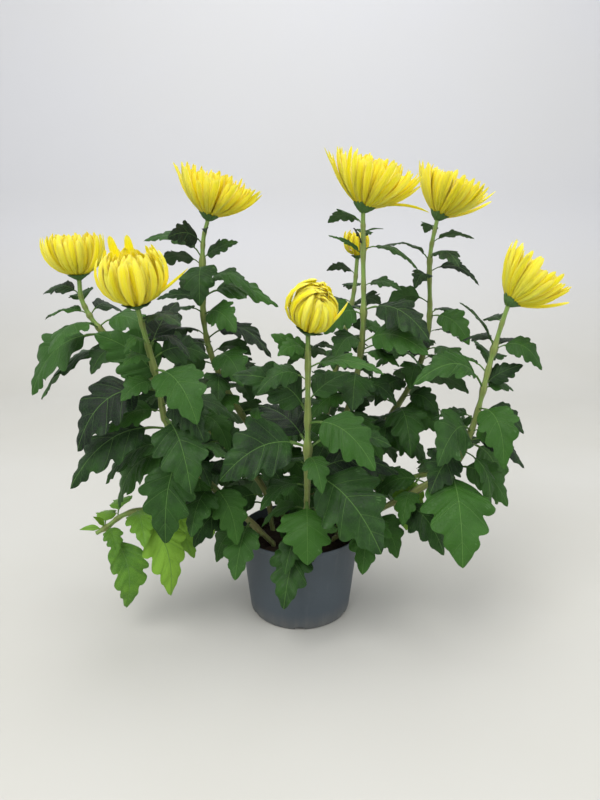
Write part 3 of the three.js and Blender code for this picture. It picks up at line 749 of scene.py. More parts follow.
def place_leaf(owner, number, offers, room, leaves):
    """Sets the first of the leaves offered that has room, if any has."""
    for leaf in offers:
        points, outer = leaf.samples()
        if room.holds(points, outer, number):
            leaves[owner].append(leaf)
            room.add(points, number, LEAF_CLEARANCE, SAME_STEM_CLEARANCE)
            return


def front_offers(path, row, draw):
    along, x, y, z, wide, arch, facing = row
    seed = math.floor(draw() * SEED_RANGE)
    for shift in FRONT_SHIFTS:
        yield Leaf(path, along, (x, y + shift, z), wide, arch, facing, random_from(seed))


def spiral_offers(path, along, azimuth, size, draw, turn_out=0.0):
    """Leaves to try round a stem, whose upper faces turn outwards by turn_out."""
    climb = between(*CLIMB, along) + between(*CLIMB_SPREAD, draw())
    wide = between(*SPIRAL_WIDTH, draw())
    arch = between(*SPIRAL_ARCH, draw())
    seed = math.floor(draw() * SEED_RANGE)
    for turn, scale in SPIRAL_TRIES:
        outward, _ = ways_round(azimuth + turn)
        way = outward * math.cos(climb) + UP * math.sin(climb)
        tip = path.at(along) + way * size * scale
        facing = -turn_out if tip[1] > BACK_STARTS else turn_out
        yield Leaf(path, along, tip, wide, arch, facing, random_from(seed))


def grow_leaves(paths):
    """The leaves of every stem: the listed ones first, then those of the stems' spirals."""
    room = Room()
    leaves = {owner: [] for owner in paths}
    numbers = {owner: number for number, owner in enumerate(paths)}
    for owner, path in paths.items():
        count = round(path.length() / SAMPLE_STEP)
        points = path.at(np.arange(count + 1) / count)
        room.add(points, numbers[owner], STEM_CLEARANCE, OWN_STEM_CLEARANCE)
        bloom = STEMS[owner].get("bloom")
        if bloom:
            room.domes.append((path.at(1), axis_of(bloom), bloom_reach(bloom)))
    for owner, path in paths.items():
        draw = random_from(ord(owner[0]) * FRONT_SEED)
        for row in STEMS[owner]["leaves"]:
            place_leaf(owner, numbers[owner], front_offers(path, row, draw), room, leaves)
    for owner, path in paths.items():
        draw = random_from(ord(owner[0]) * SPIRAL_SEED)
        young = 1 if STEMS[owner].get("bloom") else YOUNG_LEAF
        count = round(path.length() / LEAF_SPACING)
        first = draw() * FULL_TURN
        for index in range(1, count):
            along = TOPMOST_LEAF * index / count
            azimuth = first + index * GOLDEN_ANGLE
            size = between(*FULL_LEAF, draw()) * between(*LEAF_TAPER, along) * young
            if along < DENSE_BELOW or index % 2 == 0:
                offers = spiral_offers(path, along, azimuth, size, draw)
                place_leaf(owner, numbers[owner], offers, room, leaves)
    return leaves, room


# Leaf, bract and petal skins


def ring_shares(columns):
    """How far across each point of a flat ring lies, and which points are underneath."""
    columns = np.asarray(columns, float)
    upper = np.concatenate([-columns[:0:-1], columns])
    lower = upper[-2:0:-1]
    under = np.concatenate([np.zeros(len(upper)), np.ones(len(lower))])
    return np.concatenate([upper, lower]), under


def with_ends(values, shape, root, tip):
    """Values at a skin's points: those of its rings, then its root's and its tip's."""
    return np.append(np.broadcast_to(values, shape).ravel(), [root, tip])


def vein_swell(row, veins):
    """0 on a vein and 1 midway between two."""
    veins = np.asarray(veins, float)
    after = np.clip(np.searchsorted(veins, row, side="right"), 1, len(veins) - 1)
    start = veins[after - 1]
    return np.sin(math.pi * np.clip((row - start) / (veins[after] - start), 0, 1)) ** 2


def add_leaf(piece, leaf, tint):
    """One leaf: a stalk that widens into a blade with veins, closed at its rim."""
    small = leaf.length < BRACT_LENGTH
    edge = BRACT_EDGE if small else BLADE_EDGE
    fineness = 2 if small or leaf.length > FINE_LEAF else 1
    steps = (len(edge) - 1) * fineness
    share, under = ring_shares(LEAF_COLUMNS)
    side = np.where(under > 0, -1.0, 1.0)
    bow = np.abs(share)

    place = np.arange(steps) / steps
    edge_u, edge_v, root_u = through(edge, place).T
    row = place * (len(edge) - 1)
    u = root_u[:, None] + (edge_u - root_u)[:, None] * bow**1.15
    v = edge_v[:, None] * share
    off = np.abs(v) * leaf.blade * leaf.wide
    veins = (0, *sorted(MAIN_VEINS + SIDE_VEINS), len(edge) - 1)
    swell = 0 if small else vein_swell(row, veins)[:, None]
    lift = side * LEAF_THICKNESS / 2 * np.sqrt(1 - bow**4)
    rib = np.exp(-((off / MIDRIB_HALF_WIDTH) ** 2)) * (1.15 - u)
    lift = lift - np.where(under > 0, MIDRIB_HEIGHT, MIDRIB_GROOVE) * rib
    lift = lift + leaf.blade * QUILT * swell * np.sin(math.pi * bow)
    ripple = np.sin(RIM_RIPPLES * row[:, None] + leaf.phase + share)
    lift = lift + leaf.blade * RIM_RIPPLE * bow**3 * ripple

    stalk_u = np.linspace(-PETIOLE, 0, STALK_ROWS, endpoint=False)
    toward = 1 + stalk_u / PETIOLE
    root_flare = np.clip(ROOT_FLARE_PART - toward, 0, 1) / ROOT_FLARE_PART
    flare = 1 + BLADE_FLARE * toward**4 + ROOT_FLARE * root_flare
    stalk_v = STALK_HALF_WIDTH * flare[:, None] * share
    stalk_lift = side * STALK_HALF_THICKNESS * np.sqrt(1 - bow**2) * leaf.blade / USUAL_BLADE

    shape = (STALK_ROWS + steps, len(share))
    all_u = np.concatenate([np.broadcast_to(stalk_u[:, None], stalk_v.shape), u])
    all_v = np.concatenate([stalk_v, v])
    all_lift = np.concatenate([np.broadcast_to(stalk_lift, stalk_v.shape), lift])
    all_row = np.append(np.full(STALK_ROWS, OFF_BLADE), row)[:, None]
    ends = leaf.at([-PETIOLE, 1], [0, 0])
    points, faces = closed_skin(leaf.at(all_u, all_v, all_lift), ends)
    piece.add(
        points, faces, tint=tint, plain=small,
        row=with_ends(all_row, shape, OFF_BLADE, len(edge) - 1),
        across=with_ends(share, shape, 0, 0),
        along=with_ends(all_u, shape, -PETIOLE, 1),
        aside=with_ends(all_v * leaf.wide, shape, 0, 0),
        under=with_ends(under, shape, 0, 0),
    )


def petal_skin(turn, out, shut, length, width, foot, lift, cup, lean, roll):
    """Points, faces and values of one strap petal in its bloom's own frame. It leaves the
    core at the slope out and bends evenly to the slope shut."""
    share, under = ring_shares(PETAL_COLUMNS)
    bow = np.abs(share)
    along = PETAL_PLACES[:, None]
    bend = shut - out
    outward, across = ways_round(turn)

    def middle(slope):
        reach = foot + length * (np.sin(slope) - math.sin(out)) / bend
        height = lift + length * (math.cos(out) - np.cos(slope)) / bend
        return reach[..., None] * outward + height[..., None] * UP

    slope = out + bend * along
    half = width / 2 * PETAL_WIDTHS[:, None]
    swell = np.sin(math.pi * np.clip(along * 0.9 + 0.1, 0, 1)) ** 0.5
    skin = np.where(under > 0, -0.5, 0.5) * PETAL_THICKNESS * np.sqrt(1 - bow**4)
    inside = cup * half * (bow**2 - 0.45) * swell + skin * (1 - 0.4 * along)
    sideways = half * share + lean * length * along**2 + roll * (inside + length * 0.1) * along
    inward = -np.sin(slope)[..., None] * outward + np.cos(slope)[..., None] * UP
    rings = middle(slope) + sideways[..., None] * across + inside[..., None] * inward
    tip = middle(np.array(shut)) + (lean + 0.1 * roll) * length * across
    points, faces = closed_skin(rings, [foot * outward + lift * UP, tip])
    shape = rings.shape[:2]
    return points, faces, dict(
        along=with_ends(along, shape, 0, 1),
        across=with_ends(share, shape, 0, 0),
        under=with_ends(under, shape, 1, 0),
    )


def turn_to(axis):
    """The matrix of the shortest turn from +Z to axis."""
    side = np.cross(UP, axis)
    cosine = UP @ axis
    cross = np.array([
        [0, -side[2], side[1]], [side[2], 0, -side[0]], [-side[1], side[0], 0],
    ])
    return np.eye(3) + cross + cross @ cross / (1 + cosine)


# Blooms


def bloom_frame(name, path):
    """A bloom's looks, the matrix that turns rows of points to its axis, and its place."""
    bloom = {**STEMS[name]["bloom"], **FINER_BLOOM.get(name, {})}
    return bloom, turn_to(axis_of(bloom)).T, path.at(1)


def petals_of(bloom):
    """Ranks and sizes of a bloom's petals, from the outer ones in."""
    draw = random_from(bloom["seed"] * PETAL_SEED)
    full = bloom["length"]
    root = ROOT_CIRCLE * CORE_SHARE * full
    curled = is_curled(bloom)
    form = CURLED_FORM if curled else OPEN_FORM
    count = round(bloom["petals"] * form["share"])
    inner_shut = max(bloom["shut"], form["inner_shut"])
    for index in range(count):
        rank = index / (count - 1)
        elevation = math.asin(between(LOWEST_ROOT, form["highest_root"], rank))
        out = max(math.radians(bloom["out"]), elevation) + between(*PETAL_SLOPE, draw())
        shut = between(bloom["shut"] + form["closer"], inner_shut, rank)
        shut += between(*PETAL_SHUT, draw())
        turn = index * GOLDEN_ANGLE + between(*PETAL_TURN, draw())
        # The half-open bloom's front petals are shorter, so its hollow looks to the front
        reach = CURLED_REACH - HOLLOW_DEPTH * math.cos(turn - HOLLOW_AZIMUTH) if curled else 1
        length = full * reach * between(1, form["inner_length"], rank)
        width = full * between(form["width"], form["inner_width"], rank)
        yield rank, dict(
            turn=turn,
            out=out,
            shut=math.radians(shut),
            length=length * between(*form["lengths"], draw()),
            width=width * between(*PETAL_BREADTH, draw()),
            foot=root * math.cos(elevation),
            lift=PETAL_LIFT + root * math.sin(elevation),
            cup=between(*PETAL_CUP, draw()),
            lean=between(*PETAL_LEAN, draw()),
            roll=between(*PETAL_ROLL, draw()),
        )


def make_bloom(name, path, material):
    bloom, turn, place = bloom_frame(name, path)
    full = bloom["length"]
    piece = Piece()
    draw = random_from(bloom["seed"] * PETAL_SEED + 1)
    petals = list(petals_of(bloom))
    for azimuth, out, shut, scale in LOOSE_PETALS.get(name, []):
        petals.append((LOOSE_RANK, dict(
            turn=azimuth, out=math.radians(out), shut=math.radians(shut),
            length=full * scale, foot=ROOT_CIRCLE * CORE_SHARE * full, lift=PETAL_LIFT,
            width=full * LOOSE_WIDTH, **LOOSE_BEND,
        )))
    for rank, sizes in petals:
        points, faces, values = petal_skin(**sizes)
        piece.add(points @ turn + place, faces, rank=rank, tint=draw(), **values)
    wide = full * CORE_SHARE
    points, faces = lathe([
        (0, 0.3), (0.5 * wide, 0.3), (0.62 * wide, CORE_LIFT),
        (0.5 * wide, CORE_LIFT + 0.6 * wide), (0, CORE_LIFT + wide),
    ], 24)
    piece.add(points @ turn + place, faces, rank=1, tint=0.5, along=0.3, across=0, under=0)
    return piece.build(f"petals_{name}", material, "petal", [f"bloom_{name}"])


def add_cup(piece, name, path):
    """The green cup under a bloom, and the overlapping bracts that clothe it."""
    bloom, turn, place = bloom_frame(name, path)
    full = bloom["length"]
    wide = full * CUP_SHARE
    plain = dict(row=OFF_BLADE, aside=0, plain=1)
    points, faces = lathe([
        (0, -CUP_HEIGHT), (CUP_FOOT, -CUP_HEIGHT), (0.4 * wide, -0.62 * CUP_HEIGHT),
        (0.68 * wide, -0.25 * CUP_HEIGHT), (0.85 * wide, 0.3), (0.7 * wide, 1.2), (0, 1.2),
    ], CUP_SIDES)
    points = points @ turn + place
    piece.add(points, faces, along=-0.1, across=0, under=0.3, tint=0.8, **plain)
    draw = random_from(bloom["seed"] * PETAL_SEED + 2)
    for index in range(BRACTS):
        share = index / (BRACTS - 1)
        points, faces, values = petal_skin(
            turn=index * GOLDEN_ANGLE,
            out=math.radians(between(30, bloom["out"], share) + between(-2, 2, draw())),
            shut=math.radians(between(52, bloom["out"] + 24, share) + between(-5, 5, draw())),
            length=full * between(*BRACT_LENGTHS, share) * between(0.9, 1.15, draw()),
            width=full * BRACT_WIDTH,
            foot=wide * between(0.3, 0.62, share),
            lift=-CUP_HEIGHT * between(0.8, 0.02, share),
            cup=0.5,
            lean=between(-0.05, 0.05, draw()),
            roll=0,
        )
        values["under"] = 0.4 + 0.6 * values["under"]
        tint = between(0.5, 1, draw())
        piece.add(points @ turn + place, faces, tint=tint, **plain, **values)


# Stalks


def build_green(piece, part, name, material):
    """The stalk or the leaves of a stem or of a side shoot."""
    slot, kind = ("leaf", "stem") if "bloom" in STEMS[name] else ("young_leaf", "shoot")
    return piece.build(f"{part}_{name}", material, slot, [f"{kind}_{name}"])


def make_stalk(name, path, leaves, material):
    count = round(path.length() / STEM_STEP)
    along = np.arange(count + 1) / count * STEM_END
    buried = len(BURIED_HEIGHTS)
    place = np.concatenate([np.zeros(buried), along])
    apart = (place[:, None] - [leaf.along for leaf in leaves]) * path.length()
    swell = np.exp(-((apart / NODE_LENGTH) ** 2))
    swell = swell @ [min(leaf.length / FULL_NODE_LEAF, 1) for leaf in leaves]
    nodes = np.exp(-((apart / NODE_MARK) ** 2)).max(1)
    radius = between(STEM_RADIUS, STEM_TOP_RADIUS, place) + NODE_SWELL * swell
    _, across, beside = path.frame(along)
    x, y = path.points[0, :2]
    centres = np.concatenate([[(x, y, height) for height in BURIED_HEIGHTS], path.at(along)])
    across = np.concatenate([np.tile([1.0, 0, 0], (buried, 1)), across])
    beside = np.concatenate([np.tile([0, 1.0, 0], (buried, 1)), beside])
    points, faces = tube(centres, across, beside, radius)
    shape = (len(centres), STEM_SIDES)
    piece = Piece()
    piece.add(
        points, faces, hair=0,
        along=with_ends(place[:, None], shape, 0, 1),
        around=with_ends(np.arange(STEM_SIDES) / STEM_SIDES, shape, 0, 0),
        node=with_ends(nodes[:, None], shape, 0, 0),
    )
    add_hairs(piece, path, name)
    return build_green(piece, "stalk", name, material)


def add_hairs(piece, path, name):
    """Fine pale hairs that stand all over a stalk."""
    draw = random_from(ord(name[0]) * HAIR_SEED)
    count = round(path.length() * HAIRS_PER_MM)
    place, turn, flow, size = np.array([[draw() for _ in range(4)] for _ in range(count)]).T
    along = 0.02 + 0.96 * place
    ahead, across, beside = path.frame(along)
    turn = turn[:, None] * FULL_TURN
    outward = across * np.cos(turn) + beside * np.sin(turn)
    radius = between(STEM_RADIUS, STEM_TOP_RADIUS, along)[:, None]
    root = path.at(along) + outward * (radius * 0.9)
    way = unit(outward + ahead * (0.5 * flow[:, None] - 0.1))
    tip = root + way * (HAIR_LENGTH * (0.5 + size[:, None]) + radius * 0.1)
    sideways = np.cross(outward, ahead) * HAIR_WIDTH
    low = root - ahead * HAIR_WIDTH / 2
    corners = np.stack([root + ahead * HAIR_WIDTH, low + sideways, low - sideways, tip], 1)
    first = np.arange(count)[:, None, None] * 4
    faces = (first + [(0, 1, 3), (1, 2, 3), (2, 0, 3), (0, 2, 1)]).reshape(-1, 3)
    faces = np.column_stack([faces, np.full(len(faces), -1)])
    piece.add(corners, faces, along=0.5, around=0, node=0, hair=1)


# Pot and soil


def apply_cuts(obj, cutters):
    """Cuts the cutters out of an object's mesh for good, and removes them."""
    for cutter in cutters:
        cut = obj.modifiers.new("cut", "BOOLEAN")
        cut.operation = "DIFFERENCE"
        cut.solver = "EXACT"
        cut.object = cutter
    view = bpy.context.evaluated_depsgraph_get()
    mesh = bpy.data.meshes.new_from_object(obj.evaluated_get(view))
    obj.modifiers.clear()
    obj.data = mesh
    for cutter in cutters:
        bpy.data.objects.remove(cutter)


def cutter_of(points, faces):
    mesh = bpy.data.meshes.new("cutter")
    mesh.from_pydata((np.asarray(points) * MM).tolist(), [], faces)
    return add_object("cutter", mesh)


def prism(outline, start, end):
    """A solid between two copies of an outline, moved by start and by end."""
    sides = len(outline)
    faces = [list(range(sides))[::-1], list(range(sides, 2 * sides))]
    for side in range(sides):
        after = (side + 1) % sides
        faces.append([side, after, sides + after, sides + side])
    return cutter_of(np.concatenate([outline + start, outline + end]), faces)


def notch_cutter(turn):
    """A low arch cut through the foot ring."""
    width = NOTCH_WIDTH / 2
    bow = np.linspace(0, math.pi, 9)
    arch = [(width * math.cos(a), NOTCH_HEIGHT * math.sin(a) ** 0.6) for a in bow]
    outward, across = ways_round(turn)
    outline = [(width, -1), *arch, (-width, -1)]
    flat = np.array([across * side + UP * height for side, height in outline])
    return prism(flat, outward * (FOOT_RADIUS - FOOT_RING + 5), outward * (FOOT_RADIUS + 6))


def drain_cutter(turn):
    around = angles(24)
    centre = DRAIN_CIRCLE * ways_round(turn)[0]
    flat = DRAIN_RADIUS * np.stack([np.cos(around), np.sin(around), 0 * around], -1)
    return prism(flat, centre - UP, centre + UP * (FLOOR_LIFT + FLOOR_THICKNESS + 1))


def make_pot(material):
    band = POT_HEIGHT - RIM_BAND
    floor = FLOOR_LIFT + FLOOR_THICKNESS
    ring = FOOT_RADIUS - FOOT_RING
    foot = [
        (0, 0), (PAD_RADIUS - 1, 0), (PAD_RADIUS, 0.2), (PAD_RADIUS + 1.6, FLOOR_LIFT - 0.3),
        (PAD_RADIUS + 2.4, FLOOR_LIFT), (ring - 2.4, FLOOR_LIFT), (ring - 1.6, FLOOR_LIFT - 0.3),
        (ring, 0.2), (ring + 0.8, 0), (FOOT_RADIUS - 3.2, 0), (FOOT_RADIUS - 1.9, 0.3),
        (FOOT_RADIUS - 0.8, 1.1), (FOOT_RADIUS - 0.1, 2.2),
    ]
    outside = [(wall_radius(height), height) for height in PROFILE_STEPS]
    rim = [
        (wall_radius(band - 2) - RIM_PROUD, band - 2), (wall_radius(band) - RIM_PROUD, band - 0.3),
        (wall_radius(band) - 0.15, band), (wall_radius(band), band + 0.4),
        (RIM_RADIUS, POT_HEIGHT - 0.5), (RIM_RADIUS - 0.2, POT_HEIGHT - 0.1),
        (RIM_RADIUS - 0.6, POT_HEIGHT), (RIM_RADIUS - WALL + 0.4, POT_HEIGHT),
        (RIM_RADIUS - WALL, POT_HEIGHT - 0.5),
    ]
    inside = [(wall_radius(height) - WALL, height) for height in (*INNER_STEPS, floor + 3)]
    bottom = [(wall_radius(floor) - WALL - 2, floor), (0, floor)]
    points, faces = lathe(foot + outside + rim + inside + bottom, POT_SIDES)
    piece = Piece()
    piece.add(points, faces)
    pot = piece.build("pot_shell", material, "pot", ["pot"])
    turns = angles(NOTCHES) + math.pi / NOTCHES
    apply_cuts(pot, [cutter(turn) for cutter in (notch_cutter, drain_cutter) for turn in turns])
    pot.data.shade_smooth()
    pot.data.set_sharp_from_angle(angle=math.radians(POT_CREASE))


def lumps(points, draw):
    """Height of a crumbly ground at points (x, y), from many small overlapping mounds."""
    height = np.zeros(len(points))
    for _ in range(MOUNDS):
        radius = MOUND_SIZE * between(0.6, 2.4, draw())
        outward, _ = ways_round(draw() * FULL_TURN)
        centre = outward[:2] * (RIM_RADIUS - 4) * math.sqrt(draw())
        apart = np.linalg.norm(points - centre, axis=1) / radius
        bump = np.sqrt(np.clip(1 - apart**2, 0, 1)) * radius * 0.6
        height = np.maximum(height, bump)
    return height


def make_soil(material):
    draw = random_from(SOIL_SEED)
    piece = Piece()
    edge = wall_radius(SOIL_TOP) - WALL - SOIL_GAP
    bottom = FLOOR_LIFT + FLOOR_THICKNESS + 0.3
    profile = [(0, bottom), (wall_radius(bottom) - WALL - SOIL_GAP, bottom), (edge, SOIL_TOP - 2)]
    profile += [(radius, SOIL_TOP - 1) for radius in np.linspace(edge, 2, SOIL_RINGS)]
    points, faces = lathe(profile + [(0, SOIL_TOP - 1)], SOIL_SIDES)
    flat = np.hypot(points[:, 0], points[:, 1])
    top = (points[:, 2] > SOIL_TOP - 1.5) & (flat < edge - 0.5)
    points[top, 2] += lumps(points[top, :2], draw)
    piece.add(points, faces, tint=0.4)
    shape, faces = lathe(CRUMB_PROFILE, 7)
    for _ in range(CRUMBS):
        turn = draw() * FULL_TURN
        reach = (edge - 4) * math.sqrt(draw())
        size = between(*CRUMB_SIZE, draw() ** 2)
        centre = ways_round(turn)[0] * reach + UP * (SOIL_TOP + 0.3 + 1.2 * draw())
        stretch = np.array([between(0.7, 1.3, draw()) for _ in range(3)])
        tilt = turn_to(unit(np.array([draw() - 0.5, draw() - 0.5, 0.6])))
        ragged = 1 + 0.25 * np.sin(shape @ np.array([5.1, 3.7, 6.3]) + turn * 3)
        points = shape * ragged[:, None] * stretch * size
        piece.add(points @ tilt.T + centre, faces, tint=draw())
    piece.build("soil_crumbs", material, "soil", ["soil"])


# Materials


def linear(color):
    """A screen colour, 0 to 255, as the renderer's own colour."""
    parts = np.array(color) / 255
    parts = np.where(parts > 0.04045, ((parts + 0.055) / 1.055) ** 2.4, parts / 12.92)
    return (*parts.tolist(), 1.0)


class Shader:
    """A material's node tree, with a short call for each kind of node used."""

    def __init__(self, name):
        self.material = bpy.data.materials.new(name)
        self.material.use_nodes = True
        self.tree = self.material.node_tree
        self.surface = self.tree.nodes["Principled BSDF"]

    def put(self, value, socket):
        """Links a socket, or sets a plain value."""
        if isinstance(value, bpy.types.NodeSocket):
            self.tree.links.new(value, socket)
        else:
            socket.default_value = value

    def node(self, kind, inputs, **settings):
        """The outputs of a new node with these settings and inputs."""
        node = self.tree.nodes.new(kind)
        for key, value in settings.items():
            setattr(node, key, value)
        for key, value in inputs.items():
            self.put(value, node.inputs[key])
        return node.outputs

    def values(self, *names):
        """What the mesh holds at its points under these names."""
        return [self.node("ShaderNodeAttribute", {}, attribute_name=name)["Fac"] for name in names]

    def math(self, operation, first, second=0.0, third=0.0, clamp=False):
        inputs = {0: first, 1: second, 2: third}
        return self.node("ShaderNodeMath", inputs, operation=operation, use_clamp=clamp)[0]

    def times(self, first, second):
        return self.math("MULTIPLY", first, second)

    def scaled(self, value, factor, rest, clamp=False):
        """value times factor, and rest added."""
        return self.math("MULTIPLY_ADD", value, factor, rest, clamp)

    def step(self, value, start, end, low=0.0, high=1.0):
        """A smooth rise from low to high as value goes from start to end."""
        inputs = {0: value, 1: start, 2: end, 3: low, 4: high}
        return self.node("ShaderNodeMapRange", inputs, interpolation_type="SMOOTHSTEP")[0]

    def mix(self, factor, first, second):
        """A mix of two colours, each a socket or a screen colour."""
        first, second = (linear(c) if isinstance(c, tuple) else c for c in (first, second))
        return self.node("ShaderNodeMix", {0: factor, 6: first, 7: second}, data_type="RGBA")[2]

    def coats(self, color, *coats):
        """A colour under coats, each an amount and its colour."""
        for amount, coat in coats:
            color = self.mix(amount, color, coat)
        return color

    def place(self, scale=(1, 1, 1)):
        """Places in the object's own frame."""
        own = self.node("ShaderNodeTexCoord", {})["Object"]
        return self.node("ShaderNodeMapping", {"Vector": own, "Scale": scale})[0]

    def height(self):
        return self.node("ShaderNodeSeparateXYZ", {0: self.place()})[2]

    def vector(self, x, y, z):
        return self.node("ShaderNodeCombineXYZ", {0: x, 1: y, 2: z})[0]

    def noise(self, vector, scale, detail=3.0, roughness=0.55):
        inputs = {"Vector": vector, "Scale": scale, "Detail": detail, "Roughness": roughness}
        return self.node("ShaderNodeTexNoise", inputs)["Fac"]

    def cells(self, vector, scale):
        """How far each place is from the nearest edge of a net of cells."""
        inputs = {"Vector": vector, "Scale": scale}
        return self.node("ShaderNodeTexVoronoi", inputs, feature="DISTANCE_TO_EDGE")["Distance"]

    def bump(self, height, distance, strength):
        inputs = {"Height": height, "Distance": distance, "Strength": strength}
        self.put(self.node("ShaderNodeBump", inputs)["Normal"], self.surface.inputs["Normal"])

    def finish(self, color, roughness, constants):
        for key, value in {"Base Color": color, "Roughness": roughness, **constants}.items():
            self.put(value, self.surface.inputs[key])
        return self.material


def line_at(shader, row, across, veins, width):
    """1 on the veins that run from the midrib at the given rows, and 0 off them."""
    nearest = 100.0
    for vein in veins:
        apart = shader.math("ABSOLUTE", shader.math("SUBTRACT", row, vein))
        nearest = shader.math("MINIMUM", nearest, apart)
    spread = shader.scaled(shader.math("ABSOLUTE", across), -0.55 * width, width)
    return shader.step(shader.math("DIVIDE", nearest, spread), 0.35, 1, 1, 0)


def leaf_material(name, deep, mid, fresh):
    """Blades with a midrib, veins and a fine net. What is plain has no veins."""
    shader = Shader(name)
    names = ("row", "across", "along", "aside", "under", "tint", "plain")
    row, across, along, aside, under, tint, plain = shader.values(*names)
    plan = shader.vector(along, aside, tint)
    leafy = shader.math("SUBTRACT", 1.0, plain)

    off = shader.times(shader.math("ABSOLUTE", aside), shader.scaled(along, 0.9, 1.0))
    midrib = shader.step(off, 0.004, 0.011, 1, 0)
    main = shader.times(line_at(shader, row, across, MAIN_VEINS, 0.14), leafy)
    side = shader.times(line_at(shader, row, across, SIDE_VEINS, 0.11), leafy)
    big = shader.math("MAXIMUM", midrib, main)
    net = shader.times(shader.step(shader.cells(plan, 26), 0, 0.09, 1, 0), leafy)
    stalk = shader.step(along, -0.01, 0.015, 1, 0)

    mottle = shader.noise(shader.place(), 60, 4)
    blotch = shader.noise(plan, 5, 2)
    shade = shader.scaled(shader.math("SUBTRACT", mottle, 0.5), 0.55, tint, clamp=True)
    color = shader.coats(
        fresh,
        (shade, mid),
        (shader.step(shade, 0.42, 0.95), deep),
        (shader.step(blotch, 0.55, 0.8, 0, 0.3), fresh),
        (shader.times(net, 0.22), fresh),
        (shader.times(side, 0.3), VEIN_COLOR),
        (shader.times(big, 0.6), VEIN_COLOR),
        (shader.times(under, 0.5), (86, 120, 72)),
        (shader.times(stalk, 0.7), (98, 130, 62)),
    )

    relief = shader.scaled(net, 0.35, shader.scaled(side, 0.7, big))
    relief = shader.times(relief, shader.scaled(under, 2.0, -1.0))
    grain = shader.noise(shader.place(), 900, 2)
    shader.bump(shader.scaled(grain, 0.5, relief), 0.0006, 0.8)
    rough = shader.scaled(under, 0.2, shader.scaled(mottle, 0.2, 0.4))
    return shader.finish(color, rough, {
        "Specular IOR Level": 0.27, "Sheen Weight": 0.04, "Sheen Roughness": 0.4,
    })


def stalk_material():
    """Ridged stalks, woody at the foot, with darker nodes and pale hairs."""
    shader = Shader("stalk")
    along, around, knot, hair = shader.values("along", "around", "node", "hair")
    ridge = shader.math("COSINE", shader.times(around, FULL_TURN * STEM_RIDGES))
    streak = shader.noise(shader.place((1, 1, 0.08)), 420, 3)
    woody = shader.times(shader.step(along, 0, 0.3, 1, 0), shader.step(streak, 0.35, 0.6))
    color = shader.coats(
        (122, 138, 74),
        (shader.step(along, 0, 0.7), (112, 146, 62)),
        (shader.step(ridge, -0.9, 0.9, 0, 0.35), (150, 172, 96)),
        (shader.step(streak, 0.5, 0.75, 0, 0.45), (78, 104, 48)),
        (shader.times(knot, 0.35), (120, 96, 58)),
        (shader.times(woody, 0.6), (112, 92, 60)),
        (hair, (214, 220, 190)),
    )
    shader.bump(shader.scaled(ridge, 0.25, streak), 0.0005, 0.7)
    rough = shader.scaled(streak, 0.25, 0.45)
    return shader.finish(color, rough, {"Specular IOR Level": 0.4, "Sheen Weight": 0.2})


def petal_material():
    """Yellow straps, paler outside, at the rims and at the tips, deeper towards the core, with
    painted golden shade at the petals' feet.
    """
    shader = Shader("petal")
    along, across, under, rank, tint = shader.values("along", "across", "under", "rank", "tint")
    plan = shader.vector(shader.times(across, 4), along, shader.times(tint, 37))
    fibre = shader.noise(plan, 2.2, 2)
    groove = shader.math("COSINE", shader.times(across, 15))
    rim = shader.step(shader.math("ABSOLUTE", across), 0.75, 1, 0, 0.35)
    color = shader.coats(
        shader.mix(tint, (255, 226, 0), (255, 238, 4)),
        (under, shader.mix(tint, (255, 232, 2), (255, 243, 82))),
        (shader.step(rank, 0.2, 0.8, 0, 0.6), (255, 222, 0)),
        # Painted shade: each petal's foot, deep in the bloom among the other petals, is painted
        # golden.
        (shader.step(along, 0, 0.35, 0.5, 0), (255, 214, 0)),
        (shader.step(fibre, 0.5, 0.8, 0, 0.45), (255, 247, 140)),
        (rim, (255, 248, 120)),
        (shader.step(along, 0.85, 1, 0, 0.35), (255, 246, 130)),
    )
    shader.bump(shader.scaled(groove, 0.35, fibre), 0.0004, 0.6)
    return shader.finish(color, shader.scaled(fibre, 0.2, 0.42), {
        "Specular IOR Level": 0.2, "Sheen Weight": 0.04, "Subsurface Weight": 0.5,
        "Subsurface Radius": (1.0, 0.8, 0.1), "Subsurface Scale": 0.004,
    })


def pot_material():
    """Hazy grey-blue plastic, with specks, faint drips and dust near the foot."""
    shader = Shader("pot")
    place = shader.place()
    haze = shader.noise(place, 22, 5, 0.65)
    speck = shader.noise(place, 900, 2)
    drip = shader.noise(shader.place((1, 1, 0.12)), 130, 3)
    low = shader.step(shader.height(), 0, 0.022, 0.4, 0)
    color = shader.coats(
        (58, 67, 74),
        (haze, (78, 88, 96)),
        (shader.step(speck, 0.55, 0.75, 0, 0.25), (50, 58, 66)),
        (shader.times(low, drip), (150, 142, 128)),
        (shader.step(drip, 0.55, 0.8, 0, 0.22), (104, 110, 116)),
    )
    shader.bump(shader.scaled(haze, 0.6, shader.noise(place, 2400, 2)), 0.0002, 0.5)
    return shader.finish(color, shader.scaled(haze, 0.3, 0.36), {"Specular IOR Level": 0.42})


def soil_material():
    shader = Shader("soil")
    (tint,) = shader.values("tint")
    clod = shader.noise(shader.place(), 160, 6, 0.7)
    fibre = shader.noise(shader.place((1, 3, 1)), 700, 4, 0.7)
    color = shader.coats(
        (20, 15, 12),
        (clod, (58, 44, 33)),
        (shader.step(tint, 0.6, 1, 0, 0.5), (70, 54, 40)),
        (shader.step(fibre, 0.6, 0.75, 0, 0.6), (104, 82, 58)),
    )
    shader.bump(shader.scaled(fibre, 0.5, clod), 0.002, 0.9)
    return shader.finish(color, shader.scaled(clod, 0.2, 0.75), {"Specular IOR Level": 0.2})


